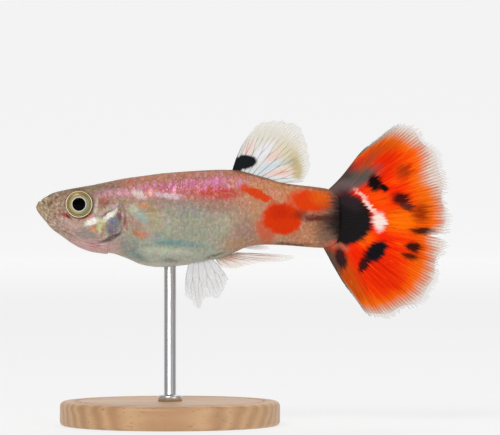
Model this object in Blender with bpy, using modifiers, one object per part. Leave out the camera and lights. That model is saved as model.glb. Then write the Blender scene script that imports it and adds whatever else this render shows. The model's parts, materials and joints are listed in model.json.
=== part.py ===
"""A male fancy guppy, life size, as a display model on a stand.

The fish swims level and faces -X, with its left side towards -Y. Its own measures are
hundredths of its body length, from the snout back and from the body's axis up, as fish
are measured. Everything else is in metres.
"""

import math

import bmesh
import bpy
from mathutils import Matrix, Vector

# Driving sizes
BODY_LENGTH = 0.0306
AXIS_HEIGHT = 0.0210
SNOUT_X = -0.02075
PART_GAP = 0.0002
FIN_THICKNESS = 0.0005
BODY_RINGS = 38
BODY_SIDES = 22

# Stand
BASE_RADIUS = 0.0110
BASE_HEIGHT = 0.0024
BASE_BEVEL = 0.0005
ROD_RADIUS = 0.0006
ROD_STATION = 43.8
ROD_DEPTH_IN_BELLY = 0.0010
FERRULE_RADIUS = 0.0012
FERRULE_HEIGHT = 0.0006

# Eyes: place, the radius that shows, and how thick and how far out the eyeball is
EYE_STATION = 14.05
EYE_HEIGHT = 3.6
EYE_RADIUS = 4.35
EYE_HALF_THICKNESS = 2.8
EYE_OUTWARD = 5.0

# Each station of the body: how far back it is, the back's and the belly's height, half
# the width, the height where it is widest, and how full the upper and lower halves are,
# where 2 is an ellipse and more is squarer.
STATIONS = {
    "snout tip": (0.0, 2.6, 2.6, 0.0, 2.6, 2.0, 2.0),
    "lips": (0.7, 4.2, 0.8, 2.0, 2.5, 2.2, 2.0),
    "mouth corner": (2.5, 5.3, -1.5, 3.2, 2.2, 2.4, 2.0),
    "nostril": (5.2, 7.1, -4.6, 4.5, 2.0, 2.6, 1.9),
    "front of eye": (9.2, 8.2, -7.5, 5.8, 2.0, 2.8, 1.8),
    "eye": (14.0, 9.1, -10.6, 6.7, 2.0, 2.8, 1.7),
    "cheek": (19.0, 10.0, -12.3, 7.3, 1.5, 2.6, 1.7),
    "gill cover": (24.8, 11.2, -12.6, 7.9, 0.6, 2.4, 1.8),
    "shoulder": (28.8, 12.0, -13.9, 8.3, 0.0, 2.2, 1.9),
    "breast": (34.6, 12.8, -16.3, 8.6, -0.6, 2.1, 2.0),
    "belly": (41.5, 13.7, -17.1, 8.6, -1.0, 2.0, 2.1),
    "pelvic fins": (55.6, 14.7, -15.3, 7.5, -0.8, 1.9, 2.0),
    "dorsal fin": (62.7, 14.8, -12.9, 6.6, -0.4, 1.9, 1.8),
    "vent": (68.6, 13.7, -10.5, 5.8, 0.0, 1.9, 1.8),
    "start of stalk": (74.5, 12.0, -9.8, 5.0, 0.3, 1.9, 1.9),
    "stalk": (81.7, 10.4, -10.0, 4.1, 0.0, 2.0, 2.0),
    "tail root": (94.4, 8.8, -10.8, 2.5, -0.8, 2.0, 2.0),
    "tail fork": (97.4, 7.7, -9.8, 1.9, -1.0, 2.0, 2.0),
    "last scale": (99.2, 4.8, -6.8, 1.3, -1.0, 2.0, 2.0),
    "end of body": (100.0, -1.0, -1.0, 0.0, -1.0, 2.0, 2.0),
}

# Lines of the thin cuts between the parts of the body, seen from the side
GILL_SLIT = [(27.0, 12.0), (28.6, 5.0), (29.4, 0.6), (28.0, -6.0), (25.8, -10.0), (24.4, -13.0)]
STALK_CUT = [(75.5, 13.0), (74.4, 5.0), (74.0, 0.0), (74.4, -5.0), (75.5, -11.0)]
JAW_CUT = [(-2.0, 4.0), (1.4, 4.0), (4.4, 2.2), (5.6, 0.2), (5.2, -3.0), (3.4, -6.5)]
GILL_COVER = [
    (19.6, 4.6), (24.0, 5.0), (27.4, 3.0), (28.3, -0.6), (27.4, -4.6),
    (24.4, -8.0), (19.0, -9.0), (14.8, -7.8), (13.2, -4.8), (17.0, -3.2), (19.2, 0.6),
]
GILL_COVER_INNER = 4.4

# Fins: the line where the rays leave the body and the line of their tips, both from the
# leading ray to the last, how many rays there are, how far each bows, how deep the edge
# is notched between rays, how thick the root is, and how the fin stands off the body.
FINS = {
    "dorsal_fin": dict(
        root=[(64.1, 14.0), (68.0, 12.6), (73.4, 11.3), (77.4, 10.2)],
        tip=[
            (71.6, 28.9), (75.0, 31.0), (80.2, 31.3), (84.8, 30.5), (87.4, 28.2),
            (88.8, 24.0), (89.9, 19.0), (89.5, 14.2), (87.4, 10.9),
        ],
        rays=12, bow=0.06, notch=0.015, root_thickness=0.00075, ripple=0.5,
    ),
    "caudal_fin": dict(
        root=[
            (95.2, 7.8), (97.8, 5.4), (98.6, 2.0), (98.8, -1.0), (98.6, -4.0),
            (97.2, -7.6), (93.4, -10.6),
        ],
        tip=[
            (120.9, 30.2), (126.9, 27.0), (131.2, 21.6), (133.9, 14.4), (135.4, 7.0),
            (135.7, -0.4), (134.9, -8.0), (133.4, -15.8), (131.3, -23.2), (127.2, -28.6),
            (120.8, -32.2), (114.6, -34.2), (109.4, -33.6),
        ],
        rays=24, bow=0.06, notch=0.012, root_thickness=0.0009, ripple=0.7, cleft=(0.55, 0.02),
    ),
    "gonopodium": dict(
        root=[(58.4, -14.0), (61.0, -13.4), (63.6, -12.8), (65.4, -12.3)],
        tip=[
            (60.6, -17.1), (64.6, -17.6), (68.4, -16.6), (74.4, -15.5), (80.6, -15.3),
            (85.0, -13.8), (82.0, -13.0), (76.4, -12.7),
        ],
        rays=7, bow=0.0, notch=0.0, root_thickness=0.0008, ripple=0.0,
    ),
    "anal_fin": dict(
        root=[(66.4, -10.6), (68.4, -9.9), (70.4, -9.5)],
        tip=[(72.0, -11.5), (74.8, -11.5), (76.5, -10.9), (75.8, -10.2)],
        rays=5, bow=0.02, notch=0.0, root_thickness=0.0006, ripple=0.0,
    ),
    "pelvic_fin": dict(
        root=[(50.2, -15.2), (52.4, -15.0), (54.8, -14.8), (57.4, -14.3)],
        tip=[
            (48.9, -27.0), (51.0, -29.2), (53.4, -31.9), (54.9, -28.3), (57.2, -27.6),
            (59.4, -28.2), (61.4, -25.2), (62.9, -21.6),
        ],
        rays=7, bow=-0.05, notch=0.02, root_thickness=0.00065, ripple=0.0,
    ),
    "pectoral_fin": dict(
        root=[(0.0, 1.9), (0.4, 0.6), (0.4, -0.6), (0.0, -1.9)],
        tip=[(13.0, 5.6), (16.4, 4.0), (17.4, 1.0), (16.4, -2.6), (13.0, -5.4), (9.0, -6.6)],
        rays=8, bow=-0.03, notch=0.015, root_thickness=0.0006, ripple=0.3,
    ),
}
PELVIC_OUTWARD = 2.0
PELVIC_SPLAY = math.radians(17)
PECTORAL_ROOT = (30.3, 7.4, -0.8)
PECTORAL_SPLAY = math.radians(30)
PECTORAL_DROOP = math.radians(-14)
STEPS_ALONG_RAY = 5
RIPPLE_HALF_WAVES = 3.5
CLEFT_SPREAD_IN_COLUMNS = 1.5

HUNDREDTH = BODY_LENGTH / 100
BEYOND = 0.01
SMOOTH_BELOW = math.radians(40)


def clear_scene():
    for obj in list(bpy.data.objects):
        bpy.data.objects.remove(obj, do_unlink=True)


def collection(name):
    made = bpy.data.collections.new(name)
    bpy.context.scene.collection.children.link(made)
    return made


def material(name, colour, roughness, metallic=0.0):
    made = bpy.data.materials.new(name)
    made.use_nodes = True
    shader = made.node_tree.nodes["Principled BSDF"]
    shader.inputs["Base Color"].default_value = (*colour, 1.0)
    shader.inputs["Roughness"].default_value = roughness
    shader.inputs["Metallic"].default_value = metallic
    return made


def placed(x, z, y=0.0):
    """A point of the fish in metres, from its measures in hundredths of the body length."""
    return Vector((SNOUT_X + x * HUNDREDTH, y * HUNDREDTH, AXIS_HEIGHT + z * HUNDREDTH))


def smooth_along(rows, share):
    """The point at this share, 0 to 1, of a Catmull-Rom curve through rows of numbers.

    The curve's knots are as far apart as the rows are.
    """
    gaps = [max(math.dist(a, b), 1e-6) for a, b in zip(rows, rows[1:])]
    want = share * sum(gaps)
    k = 0
    while k < len(gaps) - 1 and want > gaps[k]:
        want -= gaps[k]
        k += 1
    t = min(want / gaps[k], 1.0)
    ends = []
    for i in (k, k + 1):
        before, after = max(i - 1, 0), min(i + 1, len(rows) - 1)
        run = sum(gaps[before:after])
        ends.append([(b - a) / run * gaps[k] for a, b in zip(rows[before], rows[after])])
    a, b = (1 + 2 * t) * (1 - t) ** 2, t * t * (3 - 2 * t)
    c, d = t * (1 - t) ** 2, t * t * (t - 1)
    return [a * p + b * q + c * m + d * n for p, q, m, n in zip(rows[k], rows[k + 1], *ends)]


def section_point(station, turn, grow=0.0):
    """A point of the body's skin on one station, at an angle round it. grow moves it outwards."""
    x, back, belly, half_width, widest, arch, keel = station
    across, up = math.cos(turn), math.sin(turn)
    power = 2 / (arch if up > 0 else keel)
    height = (back - widest if up > 0 else widest - belly) + grow
    y = math.copysign(abs(across) ** power, across) * (half_width + grow)
    z = widest + math.copysign(abs(up) ** power, up) * height
    return placed(x, z, y)


def face_outwards(solid):
    """Turns a closed shape's faces outwards."""
    bmesh.ops.recalc_face_normals(solid, faces=solid.faces)
    if solid.calc_volume(signed=True) < 0:
        bmesh.ops.reverse_faces(solid, faces=solid.faces)


def body_mesh(name, grow=0.0):
    """The whole body as one closed loft: the rings of a sphere, carried to the stations."""
    grow = grow / HUNDREDTH
    rows = list(STATIONS.values())
    sphere = bmesh.new()
    bmesh.ops.create_uvsphere(sphere, u_segments=BODY_SIDES, v_segments=BODY_RINGS, radius=1.0)
    for vertex in sphere.verts:
        share = math.acos(max(-1.0, min(1.0, vertex.co.z))) / math.pi
        station = smooth_along(rows, share)
        station[0] += grow * (2 * share - 1)
        turn = math.atan2(vertex.co.y, vertex.co.x)
        shut = share < 1e-4 or share > 1 - 1e-4
        vertex.co = placed(station[0], station[4]) if shut else section_point(station, turn, grow)
    face_outwards(sphere)
    mesh = bpy.data.meshes.new(name)
    sphere.to_mesh(mesh)
    sphere.free()
    return mesh


def add(name, mesh, folder, finish=None):
    mesh.shade_smooth()
    mesh.set_sharp_from_angle(angle=SMOOTH_BELOW)
    obj = bpy.data.objects.new(name, mesh)
    folder.objects.link(obj)
    if finish:
        mesh.materials.clear()
        mesh.materials.append(finish)
    return obj


def as_cutter(obj):
    obj.hide_render = True
    obj.display_type = "WIRE"
    return obj


def boolean(obj, other, operation):
    step = obj.modifiers.new(f"{operation.lower()} {other.name}", "BOOLEAN")
    step.operation = operation
    step.object = other
    step.solver = "EXACT"


def outline_cutter(name, points, y_from, y_to, folder, smooth=True, grow=0.0):
    """A prism along Y whose side view is the closed outline through the points."""
    curve = bpy.data.curves.new(name, "CURVE")
    curve.dimensions = "2D"
    curve.fill_mode = "BOTH"
    curve.resolution_u = 5
    curve.extrude = abs(y_to - y_from) / 2
    curve.offset = grow
    spline = curve.splines.new("BEZIER" if smooth else "POLY")
    spline.use_cyclic_u = True
    knots = spline.bezier_points if smooth else spline.points
    knots.add(len(points) - 1)
    for knot, (x, z) in zip(knots, points):
        place = placed(x, z)
        knot.co = (place.x, place.z, 0) if smooth else (place.x, place.z, 0, 1)
        if smooth:
            knot.handle_left_type = knot.handle_right_type = "AUTO"
    raw = bpy.data.objects.new(name + " outline", curve)
    upright = Matrix.Rotation(math.pi / 2, 4, "X")
    raw.matrix_world = Matrix.Translation((0, (y_from + y_to) / 2, 0)) @ upright
    folder.objects.link(raw)
    bpy.context.view_layer.update()
    mesh = bpy.data.meshes.new_from_object(raw.evaluated_get(bpy.context.evaluated_depsgraph_get()))
    mesh.transform(raw.matrix_world)
    bpy.data.objects.remove(raw)
    bpy.data.curves.remove(curve)
    weld = bmesh.new()
    weld.from_mesh(mesh)
    bmesh.ops.remove_doubles(weld, verts=weld.verts, dist=1e-7)
    face_outwards(weld)
    weld.to_mesh(mesh)
    weld.free()
    return as_cutter(add(name, mesh, folder))


def line_points(line, count=9):
    return [tuple(smooth_along(line, i / (count - 1))) for i in range(count)]


def ahead_of(name, line, folder, shift=0.0):
    """The space ahead of a line down the side from back to belly, moved back by shift."""
    step = shift / HUNDREDTH
    edge = [(x + step, z) for x, z in line_points(line)]
    outline = [(-9.0, 30.0), (edge[0][0], 30.0), *edge, (edge[-1][0], -30.0), (-9.0, -30.0)]
    return outline_cutter(name, outline, -BEYOND, BEYOND, folder, smooth=False)


def jaw_space(name, folder, shift=0.0):
    """The space of the lower jaw, ahead of the mouth and down to the chin."""
    step = shift / HUNDREDTH
    edge = [(x + step * 0.7, z + step * 0.7) for x, z in line_points(JAW_CUT)]
    outline = [*edge, (edge[-1][0] - 1.0, -12.0), (-9.0, -12.0), (-9.0, edge[0][1])]
    return outline_cutter(name, outline, -BEYOND, BEYOND, folder, smooth=False)


def ellipsoid(name, centre, radii, folder, finish=None):
    ball = bmesh.new()
    bmesh.ops.create_uvsphere(ball, u_segments=16, v_segments=10, radius=1.0)
    turned = Matrix.Rotation(math.pi / 2, 4, "X")
    stretch = Matrix.Diagonal((*radii, 1.0))
    bmesh.ops.transform(ball, matrix=Matrix.Translation(centre) @ stretch @ turned, verts=ball.verts)
    mesh = bpy.data.meshes.new(name)
    ball.to_mesh(mesh)
    ball.free()
    return add(name, mesh, folder, finish)


def fan_point(fin, share, reach):
    """A point of a fin in side view: share is from first ray to last, reach from root to tip."""
    root = Vector(smooth_along(fin["root"], share))
    tip = Vector(smooth_along(fin["tip"], share))
    along = tip - root
    sideways = Vector((-along.y, along.x))
    bow = fin["bow"] * math.cos(math.pi * share) * 4 * reach * (1 - reach)
    return root + along * reach + sideways * bow


def fan_mesh(name, fin, place):
    """A fin as a grid of rays with the web between them, put in space by place.

    Also returns how near the root each vertex is, from 1 at the root to 0 at the edge.
    """
    columns = 2 * fin["rays"] - 1
    grid = bmesh.new()
    bmesh.ops.create_grid(grid, x_segments=columns - 1, y_segments=STEPS_ALONG_RAY, size=1.0)
    mesh = bpy.data.meshes.new(name)
    near_root = []
    cleft_at, cleft_depth = fin.get("cleft", (0.5, 0.0))
    for vertex in grid.verts:
        share = (vertex.co.x + 1) / 2
        along = (vertex.co.y + 1) / 2
        between_rays = round(share * (columns - 1)) % 2
        near_cleft = math.exp(-(((share - cleft_at) * columns / CLEFT_SPREAD_IN_COLUMNS) ** 2))
        reach = along * (1 - fin["notch"] * between_rays - cleft_depth * near_cleft)
        flat = fan_point(fin, share, reach)
        wave = fin["ripple"] * reach * math.sin(RIPPLE_HALF_WAVES * math.pi * share)
        vertex.co = place(flat.x, flat.y, wave)
        near_root.append(1 - along)
    bmesh.ops.recalc_face_normals(grid, faces=grid.faces)
    grid.to_mesh(mesh)
    grid.free()
    return mesh, near_root


def thicken(obj, fin, near_root):
    """Gives the fin its thickness: root_thickness at the root, FIN_THICKNESS at the edge."""
    group = obj.vertex_groups.new(name="root")
    for index, weight in enumerate(near_root):
        group.add([index], weight, "REPLACE")
    solid = obj.modifiers.new("thickness", "SOLIDIFY")
    solid.thickness = fin["root_thickness"]
    solid.offset = 0.0
    solid.use_rim = True
    solid.vertex_group = group.name
    solid.thickness_vertex_group = FIN_THICKNESS / fin["root_thickness"]


def build_fin(name, kind, place, folder, finish, grown_body):
    fin = FINS[kind]
    mesh, near_root = fan_mesh(name, fin, place)
    obj = add(name, mesh, folder, finish)
    thicken(obj, fin, near_root)
    boolean(obj, grown_body, "DIFFERENCE")


def in_midplane(x, z, wave):
    return placed(x, z, wave)


def pelvic_place(side):
    """Hinges the flat fin outwards about its root, on the left (-1) or right (1) side."""
    root_height = FINS["pelvic_fin"]["root"][0][1]

    def place(x, z, wave):
        down = root_height - z
        outward = PELVIC_OUTWARD + down * math.sin(PELVIC_SPLAY) + wave
        return placed(x, root_height - down * math.cos(PELVIC_SPLAY), side * outward)

    return place


def pectoral_place(side):
    """Swings the flat fin out from the flank and lets its tip droop a little."""
    root_x, root_y, root_z = PECTORAL_ROOT
    swing = Matrix.Rotation(PECTORAL_SPLAY, 3, "Z") @ Matrix.Rotation(-PECTORAL_DROOP, 3, "Y")

    def place(x, z, wave):
        turned = swing @ Vector((x, wave, z))
        return placed(root_x + turned.x, root_z + turned.z, side * (root_y + turned.y))

    return place


def build_body(model, cutters, skin):
    """The head, lower jaw, gill covers, trunk and tail stalk, parted from one body by thin cuts."""
    half = PART_GAP / 2
    before_slit = ahead_of("ahead of gill slit", GILL_SLIT, cutters, -half)
    behind_slit = ahead_of("up to gill slit", GILL_SLIT, cutters, half)
    before_stalk = ahead_of("ahead of stalk", STALK_CUT, cutters, -half)
    behind_stalk = ahead_of("up to stalk", STALK_CUT, cutters, half)
    jaw = jaw_space("jaw space", cutters, -half)
    jaw_gap = jaw_space("jaw space with gap", cutters, half)

    head = add("head", body_mesh("head"), model, skin)
    boolean(head, before_slit, "INTERSECT")
    boolean(head, jaw_gap, "DIFFERENCE")

    lower_jaw = add("lower_jaw", body_mesh("lower_jaw"), model, skin)
    boolean(lower_jaw, jaw, "INTERSECT")

    trunk = add("trunk", body_mesh("trunk"), model, skin)
    boolean(trunk, before_stalk, "INTERSECT")
    boolean(trunk, behind_slit, "DIFFERENCE")

    stalk = add("tail_stalk", body_mesh("tail_stalk"), model, skin)
    boolean(stalk, behind_stalk, "DIFFERENCE")

    inner = GILL_COVER_INNER * HUNDREDTH
    for side, word in ((-1, "left"), (1, "right")):
        y_from, y_gap = side * inner, side * (inner - PART_GAP)
        plate = outline_cutter(f"{word} gill plate", GILL_COVER, y_from, side * BEYOND, cutters)
        slot = outline_cutter(
            f"{word} gill slot", GILL_COVER, y_gap, side * BEYOND, cutters, grow=PART_GAP
        )
        cover = add(f"gill_cover_{word}", body_mesh(f"gill_cover_{word}"), model, skin)
        boolean(cover, plate, "INTERSECT")
        boolean(head, slot, "DIFFERENCE")
    return head, trunk


def build_eyes(model, cutters, head, finish):
    radii = Vector((EYE_RADIUS, EYE_HALF_THICKNESS, EYE_RADIUS)) * HUNDREDTH
    room = Vector((PART_GAP,) * 3)
    for side, word in ((-1, "left"), (1, "right")):
        centre = placed(EYE_STATION, EYE_HEIGHT, side * EYE_OUTWARD)
        ellipsoid(f"eye_{word}", centre, radii, model, finish)
        socket = as_cutter(ellipsoid(f"{word} eye socket", centre, radii + room, cutters))
        boolean(head, socket, "DIFFERENCE")


def build_fins(model, cutters, finish):
    grown_body = as_cutter(add("body with gap", body_mesh("body with gap", PART_GAP), cutters))
    for name in ("dorsal_fin", "caudal_fin", "gonopodium", "anal_fin"):
        build_fin(name, name, in_midplane, model, finish[name], grown_body)
    for side, word in ((-1, "left"), (1, "right")):
        for kind, placing in (("pelvic_fin", pelvic_place), ("pectoral_fin", pectoral_place)):
            build_fin(f"{kind}_{word}", kind, placing(side), model, finish[kind], grown_body)


def cylinder(name, centre_x, low, high, radius, folder, finish=None, sides=24):
    bar = bmesh.new()
    bmesh.ops.create_cone(
        bar, cap_ends=True, segments=sides, radius1=radius, radius2=radius, depth=high - low
    )
    bmesh.ops.translate(bar, verts=bar.verts, vec=(centre_x, 0, (low + high) / 2))
    mesh = bpy.data.meshes.new(name)
    bar.to_mesh(mesh)
    bar.free()
    return add(name, mesh, folder, finish)


def belly_height_at_rod():
    """The height of the belly's midline where the rod meets it, found by halving."""
    rows = list(STATIONS.values())
    low, high = 0.0, 1.0
    for _ in range(40):
        middle = (low + high) / 2
        if smooth_along(rows, middle)[0] < ROD_STATION:
            low = middle
        else:
            high = middle
    return section_point(smooth_along(rows, low), -math.pi / 2).z


def build_stand(model, cutters, trunk, wood, steel):
    rod_x = SNOUT_X + ROD_STATION * HUNDREDTH
    belly = belly_height_at_rod()
    base = cylinder("stand_base", rod_x, 0.0, BASE_HEIGHT, BASE_RADIUS, model, wood, sides=44)
    edge = base.modifiers.new("rounded rim", "BEVEL")
    edge.width = BASE_BEVEL
    edge.segments = 2
    foot = BASE_HEIGHT + PART_GAP
    rod_top = belly + ROD_DEPTH_IN_BELLY
    rod = cylinder("stand_rod", rod_x, foot, rod_top, ROD_RADIUS, model, steel)
    ferrule = cylinder("ferrule", rod_x, foot, foot + FERRULE_HEIGHT, FERRULE_RADIUS, cutters)
    boolean(rod, as_cutter(ferrule), "UNION")
    hole_radius = ROD_RADIUS + PART_GAP
    hole = cylinder("rod hole", rod_x, belly - BEYOND, rod_top + PART_GAP, hole_radius, cutters)
    boolean(trunk, as_cutter(hole), "DIFFERENCE")


def main():
    clear_scene()
    model = collection("Fancy guppy")
    cutters = collection("Cutters")
    cutters.hide_render = True
    skin = material("skin", (0.62, 0.40, 0.30), 0.35)
    eye = material("eye", (0.55, 0.50, 0.36), 0.15)
    clear_fin = material("clear fin", (0.80, 0.78, 0.72), 0.4)
    red_fin = material("red fin", (0.95, 0.16, 0.01), 0.4)
    wood = material("stand wood", (0.62, 0.46, 0.30), 0.5)
    steel = material("stand steel", (0.62, 0.62, 0.63), 0.3, 1.0)
    finish = dict.fromkeys(FINS, clear_fin) | {"caudal_fin": red_fin}
    head, trunk = build_body(model, cutters, skin)
    build_eyes(model, cutters, head, eye)
    build_fins(model, cutters, finish)
    build_stand(model, cutters, trunk, wood, steel)


main()
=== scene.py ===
# %% [markdown]
# # A male fancy guppy on its stand
#
# The real animal is about 3 cm long from snout to tail root. Its body is a single soft
# shape covered by thin overlapping scales, and its fins are webs of clear skin held
# open by fine branching rays. This script builds it in that order: skin, scales, eyes,
# fins, then the stand, the floor and the light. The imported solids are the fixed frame,
# and everything here follows their shapes.

# %% Load the frame
import json
import math

import bmesh
import bpy
import numpy as np
from mathutils import Matrix, Vector

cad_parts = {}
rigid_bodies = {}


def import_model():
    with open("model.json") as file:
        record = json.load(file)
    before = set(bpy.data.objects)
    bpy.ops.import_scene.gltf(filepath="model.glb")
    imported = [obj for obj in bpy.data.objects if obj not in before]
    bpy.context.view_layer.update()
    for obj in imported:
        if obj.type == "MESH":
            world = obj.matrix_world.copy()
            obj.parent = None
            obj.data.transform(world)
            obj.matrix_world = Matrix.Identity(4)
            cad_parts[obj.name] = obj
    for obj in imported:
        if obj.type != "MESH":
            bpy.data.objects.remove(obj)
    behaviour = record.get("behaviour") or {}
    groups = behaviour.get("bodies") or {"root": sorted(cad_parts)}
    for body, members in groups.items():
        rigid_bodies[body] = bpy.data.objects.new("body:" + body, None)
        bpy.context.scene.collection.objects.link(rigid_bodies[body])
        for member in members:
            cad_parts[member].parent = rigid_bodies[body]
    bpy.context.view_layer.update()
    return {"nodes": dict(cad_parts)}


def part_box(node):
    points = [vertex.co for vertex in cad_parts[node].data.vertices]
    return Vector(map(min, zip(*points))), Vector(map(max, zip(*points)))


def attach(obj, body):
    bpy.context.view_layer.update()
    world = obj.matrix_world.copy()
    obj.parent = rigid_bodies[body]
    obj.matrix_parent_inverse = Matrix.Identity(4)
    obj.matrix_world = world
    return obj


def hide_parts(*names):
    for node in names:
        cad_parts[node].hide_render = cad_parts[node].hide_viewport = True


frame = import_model()
print("solids:", sorted(frame["nodes"]))

# %% [markdown]
# ## Measures
#
# Fish are measured from the snout back and from the body's axis up. Two scales are used
# here. The shape of the body and fins is in hundredths of the body length, as in the
# solids, so that both have one outline. Marks and small features are in millimetres on
# the same chart: how far back, and how far up. The frame gives the chart's zero.

# %% The chart
MM = 0.001
BODY_LENGTH = 30.6
HUNDREDTH = BODY_LENGTH / 100
AXIS_HEIGHT = 21.0
BOTH_SIDES = ((-1, "left"), (1, "right"))
SNOUT_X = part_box("lower_jaw")[0].x / MM
print("snout at x =", round(SNOUT_X, 2), "mm")


def placed(back, up, out):
    """World positions in metres of chart positions in millimetres, as one array of rows."""
    return np.stack([SNOUT_X + back, out + 0 * back, AXIS_HEIGHT + up], -1) * MM


def ease(low, high, value):
    """0 below low, 1 above high, with a smooth step between."""
    t = np.clip((value - low) / (high - low), 0, 1)
    return t * t * (3 - 2 * t)


def bump_at(distance, width):
    """A smooth bump that is 1 at distance 0 and nearly gone at twice the width."""
    return np.exp(-((distance / width) ** 2))


def along(rows, shares):
    """Points at these shares, 0 to 1, of a Catmull-Rom curve through rows of numbers."""
    rows = np.array(rows, float)
    gaps = np.maximum(np.linalg.norm(np.diff(rows, axis=0), axis=1), 1e-6)
    knots = np.concatenate([[0], np.cumsum(gaps)])
    wanted = np.clip(shares, 0, 1) * knots[-1]
    k = np.clip(np.searchsorted(knots, wanted, side="right") - 1, 0, len(gaps) - 1)
    last = len(rows) - 1
    before = np.maximum(np.arange(len(rows)) - 1, 0)
    after = np.minimum(np.arange(len(rows)) + 1, last)
    slopes = (rows[after] - rows[before]) / (knots[after] - knots[before])[:, None]
    t = ((wanted - knots[k]) / gaps[k])[:, None]
    step = gaps[k][:, None]
    start = (1 + 2 * t) * (1 - t) ** 2 * rows[k] + t * (1 - t) ** 2 * slopes[k] * step
    end = t * t * (3 - 2 * t) * rows[k + 1] + t * t * (t - 1) * slopes[k + 1] * step
    return start + end


# %% [markdown]
# ## Finishes as expressions
#
# A fish's colour is many soft marks laid over each other, which would be hundreds of
# nodes wired by hand. A small class that wraps a node's output lets the marks be written
# as sums and products, and another one holds a material and makes any node it is asked
# for. Numbers that are the same all over go straight to the shader's own sockets.


# %% Wires and finishes
def add_node(tree, kind, settings, sockets):
    """A new node with these settings, its inputs linked to sockets or set to values."""
    made = tree.nodes.new(kind)
    for name, value in settings.items():
        setattr(made, name, value)
    for key, value in sockets.items():
        if isinstance(value, bpy.types.NodeSocket):
            tree.links.new(value, made.inputs[key])
        else:
            made.inputs[key].default_value = value
    return made


class Wire:
    """A node's output. Sums and products of wires add the Math nodes they need."""

    def __init__(self, finish, socket):
        self.finish = finish
        self.socket = socket

    def maths(self, operation, first, second=0.0):
        return self.finish.node("ShaderNodeMath", {"operation": operation}, {0: first, 1: second})

    def __add__(self, other):
        return self.maths("ADD", self, other)

    def __sub__(self, other):
        return self.maths("SUBTRACT", self, other)

    def __rsub__(self, other):
        return self.maths("SUBTRACT", other, self)

    def __mul__(self, other):
        return self.maths("MULTIPLY", self, other)

    __radd__ = __add__
    __rmul__ = __mul__

    def size(self):
        return self.maths("ABSOLUTE", self)

    def most(self, other):
        return self.maths("MAXIMUM", self, other)


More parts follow.
